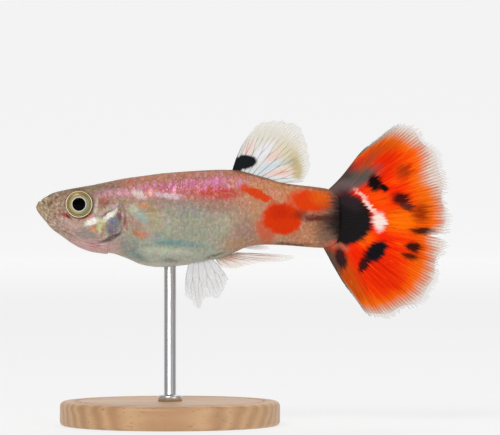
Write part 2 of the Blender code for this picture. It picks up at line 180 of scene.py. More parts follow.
class Finish:
    """A material with a Principled shader. Constants go on the shader's own sockets."""

    def __init__(self, name, **constants):
        self.material = bpy.data.materials.new(name)
        self.material.use_nodes = True
        self.tree = self.material.node_tree
        self.shader = self.tree.nodes["Principled BSDF"]
        for socket, value in constants.items():
            self.shader.inputs[socket.replace("_", " ")].default_value = value

    def node(self, kind, settings=None, sockets=None, output=0):
        sockets = {key: getattr(value, "socket", value) for key, value in (sockets or {}).items()}
        return Wire(self, add_node(self.tree, kind, settings or {}, sockets).outputs[output])

    def feed(self, **wires):
        for socket, wire in wires.items():
            self.tree.links.new(wire.socket, self.shader.inputs[socket.replace("_", " ")])

    def vectors(self, operation, *inputs, output=0):
        """Vector maths on places, or on a place and a number."""
        sockets = dict(enumerate(inputs))
        return self.node("ShaderNodeVectorMath", {"operation": operation}, sockets, output)

    def object_place(self):
        return self.node("ShaderNodeTexCoord", output="Object")

    def mapped(self, place, scale, rotation=(0, 0, 0), location=(0, 0, 0)):
        sockets = {"Vector": place, "Scale": scale, "Rotation": rotation, "Location": location}
        return self.node("ShaderNodeMapping", None, sockets)

    def chart(self):
        """Object coordinates as chart millimetres: back, out and up."""
        zero = (-SNOUT_X, 0, -AXIS_HEIGHT)
        return self.mapped(self.object_place(), (1 / MM,) * 3, location=zero)

    def parts(self, vector):
        outputs = self.node("ShaderNodeSeparateXYZ", None, {0: vector}).socket.node.outputs
        return [Wire(self, outputs[i]) for i in range(3)]

    def attribute(self, name, output="Vector"):
        return self.node("ShaderNodeAttribute", {"attribute_name": name}, None, output)

    def noise(self, place, scale, detail=2.0, roughness=0.5, output="Fac"):
        sockets = {"Vector": place, "Scale": scale, "Detail": detail, "Roughness": roughness}
        return self.node("ShaderNodeTexNoise", None, sockets, output)

    def sine(self, value):
        return self.node("ShaderNodeMath", {"operation": "SINE"}, {0: value})

    def stepped(self, value, low, high, most=1.0):
        """A smooth step from 0 at low to most at high. low may be above high."""
        sockets = {"Value": value, "From Min": low, "From Max": high, "To Max": most}
        return self.node("ShaderNodeMapRange", {"interpolation_type": "SMOOTHSTEP"}, sockets)

    def mixed(self, share, below, above, blend="MIX"):
        """Colour below, covered by colour above where share is 1. Colours are wires or paint."""
        below, above = (c if isinstance(c, Wire) else paint(*c) for c in (below, above))
        settings = {"data_type": "RGBA", "blend_type": blend}
        return self.node("ShaderNodeMix", settings, {0: share, 6: below, 7: above}, 2)

    def ramp(self, value, stops):
        """A colour ramp through stops, each a position and a colour."""
        made = self.node("ShaderNodeValToRGB", None, {0: value})
        elements = made.socket.node.color_ramp.elements
        while len(elements) < len(stops):
            elements.new(1.0)
        for element, (position, colour) in zip(elements, stops):
            element.position = position
            element.color = paint(*colour)
        return made

    def bump(self, height, strength, distance):
        sockets = {"Strength": strength, "Distance": distance, "Height": height}
        return self.node("ShaderNodeBump", None, sockets)

    def moved(self, place, noise, amount):
        """A place shifted by up to half the amount, as the noise's colour says."""
        centred = self.vectors("SUBTRACT", noise, (0.5, 0.5, 0.5))
        return self.vectors("MULTIPLY_ADD", centred, (amount,) * 3, place)

    def blotch(self, place, centre, size, tilt=0.0, soft=0.3, most=1.0):
        """Most inside an ellipse on the chart, 0 outside, seen from the side. tilt is in degrees."""
        turn = math.radians(tilt)
        long_way = Vector((math.cos(turn), 0, math.sin(turn))) / size[0]
        short_way = Vector((-math.sin(turn), 0, math.cos(turn))) / size[1]
        middle = Vector((centre[0], 0, centre[1]))
        sockets = {
            "X": self.vectors("DOT_PRODUCT", place, long_way, output="Value"),
            "Y": self.vectors("DOT_PRODUCT", place, short_way, output="Value"),
        }
        turned_place = self.node("ShaderNodeCombineXYZ", None, sockets)
        turned_middle = (middle.dot(long_way), middle.dot(short_way), 0)
        radius = self.vectors("DISTANCE", turned_place, turned_middle, output="Value")
        return self.stepped(radius, 1 + soft, 1 - soft, most)

    def laid(self, place, colour, mark):
        """How strong a mark is at each point, and the colour with the mark laid over it."""
        centre, size, tilt, soft, tint, strength = mark[:6]
        mask = self.blotch(place, centre, size, tilt, soft, strength)
        return mask, self.mixed(mask, colour, tint)

    def marked(self, place, colour, marks):
        """The colour with every mark of a table laid over it, one after another."""
        for mark in marks.values():
            colour = self.laid(place, colour, mark)[1]
        return colour


def paint(red, green, blue):
    """A colour as paint charts give it, 0 to 255, made linear for the shader."""
    values = [v / 255 for v in (red, green, blue)]
    return (*(v / 12.92 if v <= 0.04045 else ((v + 0.055) / 1.055) ** 2.4 for v in values), 1.0)


# %% [markdown]
# ## The skin
#
# On the real fish one skin covers head, jaw, gill covers and body, with no seam. The
# solids were cut from one loft, so the same stations give the skin: each says how high
# the back is, how low the belly is, how wide the body is and how full its section is.
# The rings between them are spaced by a given density, close on the head where the
# detail is, and each ring's points are spaced evenly along the skin.

# %% Stations of the body, as in the solids
STATIONS = {
    "snout tip": (0.0, 2.6, 2.6, 0.0, 2.6, 2.0, 2.0),
    "lips": (0.7, 4.2, 0.8, 2.0, 2.5, 2.2, 2.0),
    "mouth corner": (2.5, 5.3, -1.5, 3.2, 2.2, 2.4, 2.0),
    "nostril": (5.2, 7.1, -4.6, 4.5, 2.0, 2.6, 1.9),
    "front of eye": (9.2, 8.2, -7.5, 5.8, 2.0, 2.8, 1.8),
    "eye": (14.0, 9.1, -10.6, 6.7, 2.0, 2.8, 1.7),
    "cheek": (19.0, 10.0, -12.3, 7.3, 1.5, 2.6, 1.7),
    "gill cover": (24.8, 11.2, -12.6, 7.9, 0.6, 2.4, 1.8),
    "shoulder": (28.8, 12.0, -13.9, 8.3, 0.0, 2.2, 1.9),
    "breast": (34.6, 12.8, -16.3, 8.6, -0.6, 2.1, 2.0),
    "belly": (41.5, 13.7, -17.1, 8.6, -1.0, 2.0, 2.1),
    "pelvic fins": (55.6, 14.7, -15.3, 7.5, -0.8, 1.9, 2.0),
    "dorsal fin": (62.7, 14.8, -12.9, 6.6, -0.4, 1.9, 1.8),
    "vent": (68.6, 13.7, -10.5, 5.8, 0.0, 1.9, 1.8),
    "start of stalk": (74.5, 12.0, -9.8, 5.0, 0.3, 1.9, 1.9),
    "stalk": (81.7, 10.4, -10.0, 4.1, 0.0, 2.0, 2.0),
    "tail root": (94.4, 8.8, -10.8, 2.5, -0.8, 2.0, 2.0),
    "tail fork": (97.4, 7.7, -9.8, 1.9, -1.0, 2.0, 2.0),
    "last scale": (99.2, 4.8, -6.8, 1.3, -1.0, 2.0, 2.0),
    "end of body": (100.0, -1.0, -1.0, 0.0, -1.0, 2.0, 2.0),
}
RINGS = 342
SIDES = 264
FINE_STEPS = 4000
FINE_TURN = 1440
HEAD_DENSITY = 2.4
HEAD_END = 31.0
SCALE_DEPTH = 0.05
HEAD_DEPTH = 0.02


def ring_shares():
    """Where the rings lie along the stations: closest on the head."""
    fine = np.linspace(0, 1, FINE_STEPS)
    back = along(list(STATIONS.values()), fine)[:, 0]
    density = 1 + (HEAD_DENSITY - 1) * (1 - ease(HEAD_END - 3, HEAD_END + 3, back))
    total = np.concatenate([[0], np.cumsum((density[1:] + density[:-1]) / 2)])
    return np.interp(np.linspace(0, 1, RINGS), total / total[-1], fine)


def even_ring(station):
    """A ring's points, out and up in hundredths, evenly spaced from the keel round."""
    _, back, belly, half_width, widest, arch, keel = station
    turn = np.linspace(-math.pi / 2, 1.5 * math.pi, FINE_TURN)
    across, high = np.cos(turn), np.sin(turn)
    power = 2 / np.where(high > 0, arch, keel)
    height = np.where(high > 0, back - widest, widest - belly)
    out = np.sign(across) * np.abs(across) ** power * half_width
    up = widest + np.sign(high) * np.abs(high) ** power * height
    run = np.concatenate([[0], np.cumsum(np.hypot(np.diff(out), np.diff(up)))])
    if run[-1] < 1e-6:
        return np.zeros(SIDES), np.full(SIDES, widest)
    wanted = np.arange(SIDES) / SIDES * run[-1]
    return np.interp(wanted, run, out), np.interp(wanted, run, up)


stations = along(list(STATIONS.values()), ring_shares())
back = np.repeat(stations[:, :1], SIDES, axis=1) * HUNDREDTH
rings = [even_ring(station) for station in stations]
out = np.array([r[0] for r in rings]) * HUNDREDTH
up = np.array([r[1] for r in rings]) * HUNDREDTH
print("skin rings:", RINGS, "around:", SIDES)


# %% [markdown]
# ## Sculpting the skin
#
# Small forms are added by moving the skin's points in or out. A groove or ridge follows a
# line drawn on the side of the fish, and fades with distance from it. The eye is different:
# its rim has to meet the eyeball all the way round, so the skin there is led to the
# eyeball's edge and then down into the socket.


# %% Helpers that read the side of the fish
def normals_of(back, out, up):
    """Outward unit normals of the grid of skin points."""
    points = np.stack([back, out, up], -1)
    down_body = np.gradient(points, axis=0)
    round_body = (np.roll(points, -1, axis=1) - np.roll(points, 1, axis=1)) / 2
    normal = np.cross(round_body, down_body)
    length = np.linalg.norm(normal, axis=-1, keepdims=True)
    normal = normal / np.maximum(length, 1e-9)
    middle = np.stack([back, 0 * out, up.mean(axis=1, keepdims=True) + 0 * up], -1)
    facing = np.sign((normal * (points - middle)).sum(-1).mean())
    return normal * facing


def from_line(back, up, line, samples=90):
    """Distance of each chart place from a smooth line, and the share along it of the nearest point."""
    shares = np.linspace(0, 1, samples)
    path = along(line, shares)
    nearest = np.full(back.shape, 1e9)
    share = np.zeros(back.shape)
    for (x, z), s in zip(path, shares):
        distance = np.hypot(back - x, up - z)
        closer = distance < nearest
        nearest = np.where(closer, distance, nearest)
        share = np.where(closer, s, share)
    return nearest, share


def within(back, up, outline):
    """Whether each chart place is inside a closed smooth outline."""
    closed = along([*outline, outline[0]], np.linspace(0, 1, 120))
    inside = np.zeros(back.shape, bool)
    for (x0, z0), (x1, z1) in zip(closed, np.roll(closed, -1, axis=0)):
        crosses = (z0 > up) != (z1 > up)
        at = x0 + (up - z0) * (x1 - x0) / np.where(z1 == z0, 1e-9, z1 - z0)
        inside ^= crosses & (back < at)
    return inside


# %% Lines and places of the head, in chart millimetres
EYE_CENTRE = (4.4, 1.07)
EYE_RADIUS = 1.36
EYE_OUT = 1.53
EYE_RIM_OUT = 1.76
MOUTH = [(0.2, 1.5), (0.5, 1.43), (0.85, 1.28), (1.2, 1.02), (1.36, 0.8)]
UPPER_LIP_EDGE = [(1.2, 2.0), (1.42, 1.45), (1.5, 0.8), (1.38, 0.1), (1.05, -0.8)]
NOSTRILS = [((1.62, 1.22), 0.10), ((2.15, 1.72), 0.09)]
LIP_SWELLINGS = {
    "upper": ((0.95, 1.65), 0.25, 0.08),
    "lower": ((0.1, 0.75), 0.3, 0.05),
    "dip between": ((0.05, 1.3), 0.2, -0.06),
}
UNDER_EYE_FOLD = [(2.6, 0.15), (3.2, -0.22), (3.9, -0.5), (4.8, -0.48), (5.5, -0.05)]
CHEEK_EDGE = [
    (6.15, 2.0), (6.4, 1.1), (6.3, 0.1), (5.95, -0.9),
    (5.1, -1.7), (3.9, -1.75), (2.8, -1.15), (2.0, -0.7),
]
GILL_EDGE = [
    (7.9, 1.75), (8.6, 1.0), (8.93, -0.1), (8.5, -1.6),
    (7.6, -2.42), (6.6, -2.66), (5.4, -2.75), (4.2, -2.4), (3.1, -1.62),
]
GILL_PLATE = [*GILL_EDGE, (2.6, -0.6), (4.0, -0.2), (6.0, 1.2)]
THROAT_FOLDS = [
    [(3.0, -2.0), (4.7, -2.95), (5.9, -3.15), (6.9, -3.1)],
    [(2.6, -2.1), (4.6, -3.2), (6.0, -3.42), (7.0, -3.4)],
]
MEMBRANE_EDGE = [(7.35, -2.7), (7.3, -3.3), (7.05, -4.0)]
SHOULDER_RIDGE = [(8.9, 1.2), (9.2, 0.2), (9.05, -1.1), (8.5, -2.2)]
PECTORAL_ROOT = (9.27, -0.25)


# %% Sculpt the head and the fin roots
def orbit(back, out, up):
    """Leads the skin to the eyeball's rim, and down into the socket inside it."""
    radius = np.hypot(back - EYE_CENTRE[0], up - EYE_CENTRE[1])
    side = ease(0.55, 1.1, np.abs(out))
    reach = np.where(np.abs(out) > EYE_RIM_OUT, 0.32, 0.7)
    towards_rim = (1 - ease(0, reach, radius - EYE_RADIUS)) * side
    lidded = np.abs(out) * (1 - towards_rim) + EYE_RIM_OUT * towards_rim
    into_socket = 1 - ease(EYE_RADIUS - 0.13, EYE_RADIUS - 0.02, radius)
    deep = lidded * (1 - into_socket) + 1.0 * into_socket
    return np.sign(out) * np.where(np.abs(out) > 0.3, deep, np.abs(out))


def head_forms(back, up, normal):
    """How far each point moves out along its normal, in millimetres."""
    side = ease(0.25, 0.7, np.abs(normal[..., 1]))
    moved = np.zeros(back.shape)
    d, share = from_line(back, up, MOUTH)
    front = (back < 1.7) & (up < 2.2)
    slit = 0.04 + 0.05 * ease(0.0, 0.4, share)
    moved -= np.where(front, slit * bump_at(d, 0.075) * (1 - ease(0.8, 1.0, share)), 0)
    moved += np.where(front, 0.06 * bump_at(d - 0.2, 0.13) * (1 - 0.6 * share), 0)
    d, share = from_line(back, up, UPPER_LIP_EDGE)
    moved -= 0.06 * bump_at(d, 0.07) * ease(0.0, 0.2, share)
    for (x, z), width, height in LIP_SWELLINGS.values():
        moved += height * bump_at(np.hypot(back - x, up - z), width)
    for (x, z), size in NOSTRILS:
        d = np.hypot(back - x, up - z)
        moved += side * (0.04 * bump_at(d - size * 1.5, 0.06) - 0.13 * bump_at(d, size))
    d, share = from_line(back, up, UNDER_EYE_FOLD)
    moved -= 0.05 * bump_at(d, 0.07) * side * np.sin(math.pi * share) ** 0.5
    d, share = from_line(back, up, CHEEK_EDGE)
    moved += side * (0.03 * bump_at(d - 0.12, 0.1) - 0.06 * bump_at(d, 0.06))
    for fold in THROAT_FOLDS:
        d, share = from_line(back, up, fold)
        moved += (0.025 * bump_at(d - 0.1, 0.06) - 0.05 * bump_at(d, 0.05)) * ease(0, 0.2, share)
    d, share = from_line(back, up, SHOULDER_RIDGE)
    moved += 0.05 * bump_at(d, 0.16) * side * np.sin(math.pi * share)
    d = np.hypot((back - PECTORAL_ROOT[0]) / 1.3, up - PECTORAL_ROOT[1])
    moved += 0.10 * bump_at(d, 0.42) * side
    return moved


def gill_forms(back, up, normal):
    """The gill cover as a raised plate with a slit behind it, and the membrane's free edge."""
    side = ease(0.2, 0.6, np.abs(normal[..., 1]))
    d, share = from_line(back, up, GILL_EDGE, samples=140)
    signed = np.where(within(back, up, GILL_PLATE), -d, d)
    fades = ease(0.0, 0.06, share) * (1 - 0.75 * ease(0.5, 0.95, share))
    plate = 0.085 * (1 - ease(-0.05, 0.05, signed)) * (1 - ease(0.4, 1.6, d))
    slit = -0.13 * bump_at(signed - 0.09, 0.07)
    moved = side * fades * (plate + slit)
    d, share = from_line(back, up, MEMBRANE_EDGE)
    ahead = back < 7.2
    edge = np.where(ahead, 0.10 * (1 - ease(0.1, 1.0, d)), -0.06 * bump_at(d, 0.12))
    return moved + edge * (up < -2.6) * ease(0.0, 0.3, share)


def fin_roots(back, out, normal):
    """Low swellings of muscle and scales where the fins leave the body."""
    top = ease(0.4, 0.9, normal[..., 2])
    dorsal = ease(19.0, 20.2, back) * (1 - ease(22.8, 24.6, back)) * bump_at(out, 0.28)
    moved = 0.12 * dorsal * top
    under = ease(0.4, 0.9, -normal[..., 2])
    anal = ease(17.6, 18.6, back) * (1 - ease(19.9, 21.6, back)) * bump_at(out, 0.3)
    moved += 0.10 * anal * under
    pelvic = np.hypot((back - 16.4) / 1.3, np.abs(out) - 0.62)
    return moved + 0.08 * bump_at(pelvic, 0.4) * under


normal = normals_of(back, out, up)
coat = ease(8.4, 9.6, back) + (1 - ease(8.4, 9.6, back)) * ease(1.6, 2.2, up) * ease(5.0, 6.0, back)
depth = -(HEAD_DEPTH + (SCALE_DEPTH - HEAD_DEPTH) * coat)
depth += head_forms(back, up, normal) + gill_forms(back, up, normal)
depth += fin_roots(back, out, normal)
septum = bump_at(up + 0.25 * ease(9, 20, back), 0.35) * ease(9.5, 12, back)
depth -= 0.03 * septum * (1 - ease(28, 30, back))
depth *= ease(0, 0.25, np.abs(stations[:, 3:4] * HUNDREDTH))
back, out, up = (v + depth * normal[..., i] for i, v in enumerate((back, out, up)))
out = orbit(back, out, up)
print("skin moved by", round(float(depth.min()), 3), "to", round(float(depth.max()), 3), "mm")


# %% [markdown]
# The skin's points become a closed mesh, each end gathered to one point. It gets an
# unwrap of its own shape, like a label round a bottle: along the body one way and round
# it the other. The scales use the same unwrap to find their place.


# %% Build the skin
def in_scene(name, data):
    """A new object with this data, linked to the scene."""
    made = bpy.data.objects.new(name, data)
    bpy.context.scene.collection.objects.link(made)
    return made


def new_object(name, vertices, faces):
    mesh = bpy.data.meshes.new(name)
    mesh.from_pydata([tuple(v) for v in vertices], [], faces)
    mesh.validate()
    mesh.shade_smooth()
    return in_scene(name, mesh)


def result_mesh(obj, name):
    """A new mesh of an object with its modifiers worked out."""
    bpy.context.view_layer.update()
    mesh = bpy.data.meshes.new_from_object(obj.evaluated_get(bpy.context.evaluated_depsgraph_get()))
    mesh.name = name
    return mesh


def give(mesh, name, values):
    """Stores a number or a vector for each point of a mesh under this name."""
    values = np.array(values, np.float32)
    kind, key = ("FLOAT", "value") if values.ndim == 1 else ("FLOAT_VECTOR", "vector")
    mesh.attributes.new(name, kind, "POINT").data.foreach_set(key, values.ravel())


def tube_faces(rings, sides):
    """Faces of rings of points, in strips along them. The last two points close the two ends."""
    faces = []
    last = (rings - 1) * sides
    for j in range(sides):
        k = (j + 1) % sides
        faces.append((rings * sides, j, k))
        faces += [(a + j, a + sides + j, a + sides + k, a + k) for a in range(0, last, sides)]
        faces.append((last + k, last + j, rings * sides + 1))
    return faces


def build_skin(back, out, up):
    rows = slice(1, RINGS - 1)
    ring_points = placed(back[rows], up[rows], out[rows]).reshape(-1, 3)
    ends = placed(back[[0, -1], 0], up[[0, -1], 0], 0 * out[[0, -1], 0])
    made = new_object("guppy_skin", np.concatenate([ring_points, ends]), tube_faces(RINGS - 2, SIDES))
    length = back[rows, 0] / BODY_LENGTH
    unwrap = []
    for j in range(SIDES):
        low, high = j / SIDES, (j + 1) / SIDES
        middle = (low + high) / 2
        unwrap += [(0, middle), (length[0], low), (length[0], high)]
        for near, far in zip(length, length[1:]):
            unwrap += [(near, low), (far, low), (far, high), (near, high)]
        unwrap += [(length[-1], high), (length[-1], low), (1, middle)]
    layer = made.data.uv_layers.new(name="OFBake")
    layer.data.foreach_set("uv", np.array(unwrap, np.float32).ravel())
    face_out(made)
    return made


def face_out(obj):
    """Turns a closed mesh's faces outwards."""
    solid = bmesh.new()
    solid.from_mesh(obj.data)
    if solid.calc_volume(signed=True) < 0:
        bmesh.ops.reverse_faces(solid, faces=solid.faces)
    solid.to_mesh(obj.data)
    solid.free()


skin = build_skin(back, out, up)
print("skin triangles:", 2 * SIDES * (RINGS - 2))

# %% [markdown]
# ## The fish's colours
#
# The skin and the scales carry the same marks, so both finishes call one function. It
# starts with colours that run from back to belly, one set each for head, body and tail
# end, and lays named marks over them. A mark is an ellipse seen from the side whose edge
# is made ragged by shifting the place it is read at. Colours are from life.

# %% Soft marks of the body: centre, size, tilt, softness, colour and strength
BODY_MARKS = {
    "brown back": ((14.0, 3.9), (6.5, 0.6), 4, 0.6, (187, 126, 102), 0.8),
    "pink band": ((15.6, 3.05), (5.4, 0.52), 7, 0.5, (198, 112, 134), 0.85),
    "violet sheen": ((18.2, 3.3), (2.4, 0.3), 2, 0.7, (214, 122, 150), 0.7),
    "rose band": ((15.6, 2.25), (4.6, 0.6), 4, 0.5, (204, 112, 112), 0.85),
    "red band": ((18.2, 2.2), (2.3, 0.62), -3, 0.4, (200, 80, 68), 0.95),
    "red core": ((18.7, 2.5), (1.2, 0.25), 0, 0.5, (206, 66, 46), 0.7),
    "rose edge": ((17.4, 1.5), (3.0, 0.32), -6, 0.6, (184, 112, 98), 0.7),
    "nape rose": ((8.4, 2.2), (2.4, 0.45), 8, 0.6, (198, 146, 152), 0.7),
    "shoulder pearl": ((10.4, 2.05), (0.7, 0.36), -8, 0.6, (222, 206, 200), 0.9),
    "shoulder amber": ((11.7, 2.3), (0.7, 0.28), 5, 0.6, (214, 148, 116), 0.85),
    "pale blue": ((13.3, 1.9), (1.35, 0.3), -4, 0.6, (220, 198, 208), 0.95),
    "dotted grey": ((13.6, 1.25), (1.8, 0.42), -4, 0.6, (150, 132, 126), 0.6),
    "grey flank": ((15.6, 0.3), (2.0, 0.7), -3, 0.8, (142, 142, 138), 0.7),
    "mauve flank": ((18.2, 0.75), (2.0, 0.5), -5, 0.7, (162, 120, 104), 0.7),
    "green pearl": ((9.9, 0.6), (0.45, 0.5), 60, 0.6, (186, 190, 168), 0.8),
    "small orange": ((10.8, 0.9), (0.62, 0.26), -8, 0.6, (206, 148, 104), 0.9),
    "olive": ((11.9, -0.6), (0.75, 1.3), 10, 0.7, (162, 142, 82), 0.85),
    "cyan": ((10.75, -0.25), (0.72, 0.24), -38, 0.6, (146, 192, 178), 0.9),
    "rust wedge": ((10.1, -0.95), (0.85, 0.42), -40, 0.6, (170, 108, 86), 0.85),
    "low orange": ((10.55, -1.85), (0.85, 0.42), -14, 0.6, (184, 116, 82), 0.9),
    "low orange core": ((10.7, -1.9), (0.4, 0.22), -14, 0.6, (216, 116, 62), 0.8),
    "slate dot": ((12.2, -2.0), (0.34, 0.3), 0, 0.7, (120, 134, 152), 0.7),
    "green dot": ((12.75, -1.95), (0.34, 0.34), 0, 0.7, (120, 152, 120), 0.7),
    "green flank": ((15.0, -1.4), (2.6, 1.2), -5, 0.9, (148, 154, 134), 0.7),
    "teal band": ((13.4, -2.7), (1.9, 0.3), -5, 0.7, (108, 150, 148), 0.85),
    "teal band end": ((15.4, -2.95), (1.4, 0.26), -8, 0.7, (124, 152, 148), 0.7),
    "cream band": ((12.8, -3.6), (2.4, 0.36), -3, 0.6, (190, 196, 174), 0.85),
    "breast slate": ((9.4, -3.3), (1.2, 0.8), -28, 0.8, (138, 140, 132), 0.7),
    "breast mottle": ((10.1, -4.0), (1.0, 0.24), -30, 0.7, (116, 144, 146), 0.8),
    "belly mottle": ((13.3, -4.5), (0.8, 0.18), -6, 0.7, (120, 136, 124), 0.7),
    "vent line": ((17.9, -4.0), (1.1, 0.13), 18, 0.6, (112, 108, 86), 0.8),
    "rear tan": ((20.0, -2.7), (1.6, 0.9), 12, 0.8, (182, 142, 114), 0.85),
    "mauve spot": ((20.9, -1.55), (1.1, 1.0), 0, 0.9, (146, 116, 112), 0.6),
    "mauve line": ((21.0, -0.2), (0.2, 0.8), 0, 0.7, (150, 122, 112), 0.5),
    "rear sand": ((23.4, 2.6), (3.8, 0.9), -12, 0.6, (202, 138, 96), 0.9),
    "rear pink": ((23.8, 2.2), (0.8, 0.4), -10, 0.7, (216, 136, 116), 0.6),
    "peach stalk": ((27.0, -1.7), (2.4, 1.3), 0, 0.6, (184, 122, 88), 0.95),
    "tan under stalk": ((29.2, -2.4), (1.2, 0.5), 4, 0.7, (172, 126, 92), 0.8),
    "under line": ((25.6, -2.95), (1.9, 0.14), -1, 0.7, (96, 66, 46), 0.8),
}

# %% Bold marks of the body, in the same form
BOLD_MARKS = {
    "pink beside spot": ((22.9, -1.5), (0.85, 1.3), 20, 0.45, (200, 92, 62), 0.85),
    "slanted orange": ((22.4, 1.95), (1.4, 0.5), -25, 0.25, (216, 60, 4), 0.95),
    "slanted tip": ((21.0, 2.6), (0.7, 0.4), -20, 0.4, (214, 62, 18), 0.9),
    "red spot": ((24.6, -0.35), (1.95, 1.6), -12, 0.16, (214, 52, 2), 1.0),
    "red spot core": ((24.4, 0.3), (1.0, 0.7), 0, 0.7, (190, 36, 5), 0.7),
    "spot to stalk": ((26.6, 0.45), (0.8, 0.5), 25, 0.5, (160, 46, 12), 0.9),
    "stalk orange": ((27.5, 1.4), (2.3, 1.1), -6, 0.35, (222, 60, 3), 1.0),
    "stalk amber": ((28.8, 1.8), (1.2, 0.85), -14, 0.7, (226, 98, 14), 0.85),
    "stalk pale end": ((30.1, 2.1), (0.5, 0.6), 0, 0.7, (170, 108, 90), 0.7),
    "maroon streak": ((28.7, -0.35), (2.5, 0.38), -4, 0.6, (104, 26, 17), 0.95),
}

# %% Marks of the end of the body, drawn out along it
END_MARKS = {
    "tail shade": ((30.4, -1.1), (2.2, 2.2), 0, 0.7, (68, 50, 43), 0.95),
    "tail shade top": ((30.7, 1.7), (1.15, 1.6), 0, 0.5, (84, 62, 58), 0.95),
    "tail black": ((33.1, -0.4), (3.5, 4.4), 0, 0.24, (22, 18, 19), 1.0),
    "smoke under shade": ((29.2, -2.2), (0.9, 0.5), 0, 0.7, (124, 98, 84), 0.7),
    "rosy corner": ((30.1, -3.0), (1.1, 0.42), -6, 0.5, (196, 100, 76), 0.95),
}

# %% Marks of the head, in the same form, the last number being how silvery it is
HEAD_MARKS = {
    "lips": ((0.8, 0.8), (1.4, 1.4), 0, 0.7, (177, 156, 122), 0.9, 0),
    "lower lip": ((0.42, 0.75), (0.4, 0.14), -50, 0.6, (186, 156, 116), 0.8, 0),
    "upper lip": ((0.85, 1.55), (0.4, 0.16), 30, 0.6, (186, 168, 136), 0.7, 0),
    "jaw edge": ((0.75, -0.5), (1.0, 0.12), -52, 0.6, (196, 190, 180), 0.7, 0),
    # Painted shade: the mouth slit and the mouth's corner are darkened where the lips meet.
    "mouth": ((0.85, 1.26), (0.5, 0.07), -34, 0.6, (112, 86, 64), 0.75, 0),
    "mouth corner": ((1.4, 0.95), (0.34, 0.2), -50, 0.7, (120, 94, 68), 0.75, 0),
    "lip spot": ((0.7, 0.75), (0.2, 0.14), -30, 0.7, (126, 98, 68), 0.7, 0),
    # Painted shade in the fold along the edge of the upper lip.
    "lip fold": ((1.5, 0.3), (0.08, 0.6), 0, 0.6, (136, 104, 86), 0.7, 0),
    "rosy snout": ((2.5, -0.05), (0.7, 0.35), 0, 0.7, (186, 136, 124), 0.7, 0),
    "snout spot": ((1.4, 1.95), (0.4, 0.16), 25, 0.6, (92, 84, 76), 0.8, 0),
    "snout shade": ((2.0, 1.6), (1.0, 0.22), 28, 0.7, (140, 116, 96), 0.6, 0),
    # Painted shade: the nostril pits are darkened inside.
    "nostril": ((1.62, 1.22), (0.2, 0.16), 0, 0.6, (84, 62, 44), 0.85, 0),
    "rear nostril": ((2.15, 1.72), (0.14, 0.11), 0, 0.6, (96, 74, 54), 0.7, 0),
    "snout sand": ((2.3, 0.9), (0.7, 0.8), 0, 0.7, (158, 126, 106), 0.8, 0),
    "chin": ((2.2, -1.4), (1.6, 0.7), -38, 0.7, (186, 158, 142), 0.8, 0),
    "rosy below eye": ((3.6, -0.85), (1.5, 0.5), -12, 0.7, (190, 158, 146), 0.8, 0),
    "cheek shade": ((5.4, -1.6), (1.0, 0.5), 10, 0.8, (160, 138, 124), 0.7, 0),
    "red fold": ((3.2, -0.1), (0.52, 0.18), -30, 0.5, (132, 22, 26), 1.0, 0),
    "red fold front": ((2.75, 0.15), (0.3, 0.16), -20, 0.7, (190, 110, 104), 0.7, 0),
    "red rim": ((5.1, -0.22), (0.85, 0.1), 32, 0.6, (140, 48, 48), 0.85, 0),
    "brow shade": ((4.3, 2.5), (1.1, 0.1), 4, 0.6, (96, 78, 58), 0.8, 0),
    "temple": ((7.2, 2.2), (0.9, 0.5), 0, 0.7, (178, 134, 144), 0.7, 0.1),
    "red cheek": ((6.9, 1.3), (0.65, 0.65), 20, 0.7, (170, 96, 84), 0.85, 0),
    "gill glow": ((6.5, -0.7), (1.5, 0.9), 36, 0.8, (196, 186, 160), 0.7, 0.2),
    "cheek bar": ((6.05, 0.75), (0.17, 0.8), -8, 0.6, (206, 194, 196), 0.9, 0.3),
    "cheek pearl": ((5.66, -0.7), (0.66, 0.32), 22, 0.45, (255, 250, 238), 1.0, 0.25),
    "pearl rose": ((5.4, -0.2), (0.6, 0.1), 20, 0.6, (214, 136, 120), 0.8, 0),
    "gill lilac": ((5.2, -1.95), (1.2, 0.5), -8, 0.7, (158, 142, 136), 0.8, 0.1),
    "gill amber": ((5.85, -1.35), (0.3, 0.26), 0, 0.6, (220, 142, 98), 0.85, 0.1),
    "gill gold": ((6.75, -1.3), (0.5, 0.8), -20, 0.7, (166, 158, 114), 0.85, 0.3),
    "gill gold line": ((6.55, -1.2), (0.14, 0.7), -14, 0.7, (214, 206, 160), 0.7, 0.3),
    "gill teal": ((7.75, -1.2), (0.6, 1.05), -18, 0.6, (120, 124, 122), 0.95, 0.3),
    "gill blue": ((7.7, -0.55), (0.4, 0.35), 0, 0.7, (110, 130, 156), 0.8, 0.2),
    "gill white": ((7.75, 0.72), (0.6, 0.3), 28, 0.7, (204, 188, 182), 0.75, 0.1),
    "gill silver": ((7.4, -0.1), (1.05, 0.24), 38, 0.6, (250, 246, 230), 1.0, 0.35),
    "gill silver foot": ((6.6, -0.8), (0.5, 0.24), 50, 0.7, (216, 210, 156), 0.85, 0.3),
    "gill silver shade": ((7.2, 0.24), (0.8, 0.1), 34, 0.6, (98, 94, 110), 0.8, 0.1),
    "gill plum": ((8.45, 0.0), (0.26, 0.9), 6, 0.6, (118, 70, 88), 0.85, 0),
    "pale dot": ((8.95, 0.0), (0.2, 0.26), 0, 0.6, (200, 196, 186), 0.85, 0),
    "gill dark edge": ((7.6, -2.3), (1.1, 0.16), 26, 0.7, (76, 72, 78), 0.9, 0),
    "gill dark edge front": ((6.2, -2.62), (0.9, 0.07), 2, 0.7, (120, 84, 90), 0.7, 0),
    "shoulder red": ((9.05, -0.7), (0.16, 0.95), 6, 0.6, (160, 94, 80), 0.8, 0),
    "throat rose": ((5.4, -3.1), (2.2, 0.5), -8, 0.8, (212, 172, 170), 0.85, 0),
    "throat red line": ((5.9, -2.98), (0.85, 0.06), -10, 0.6, (186, 100, 112), 0.8, 0),
    "throat low line": ((5.9, -3.25), (0.8, 0.05), -8, 0.6, (186, 108, 118), 0.7, 0),
}

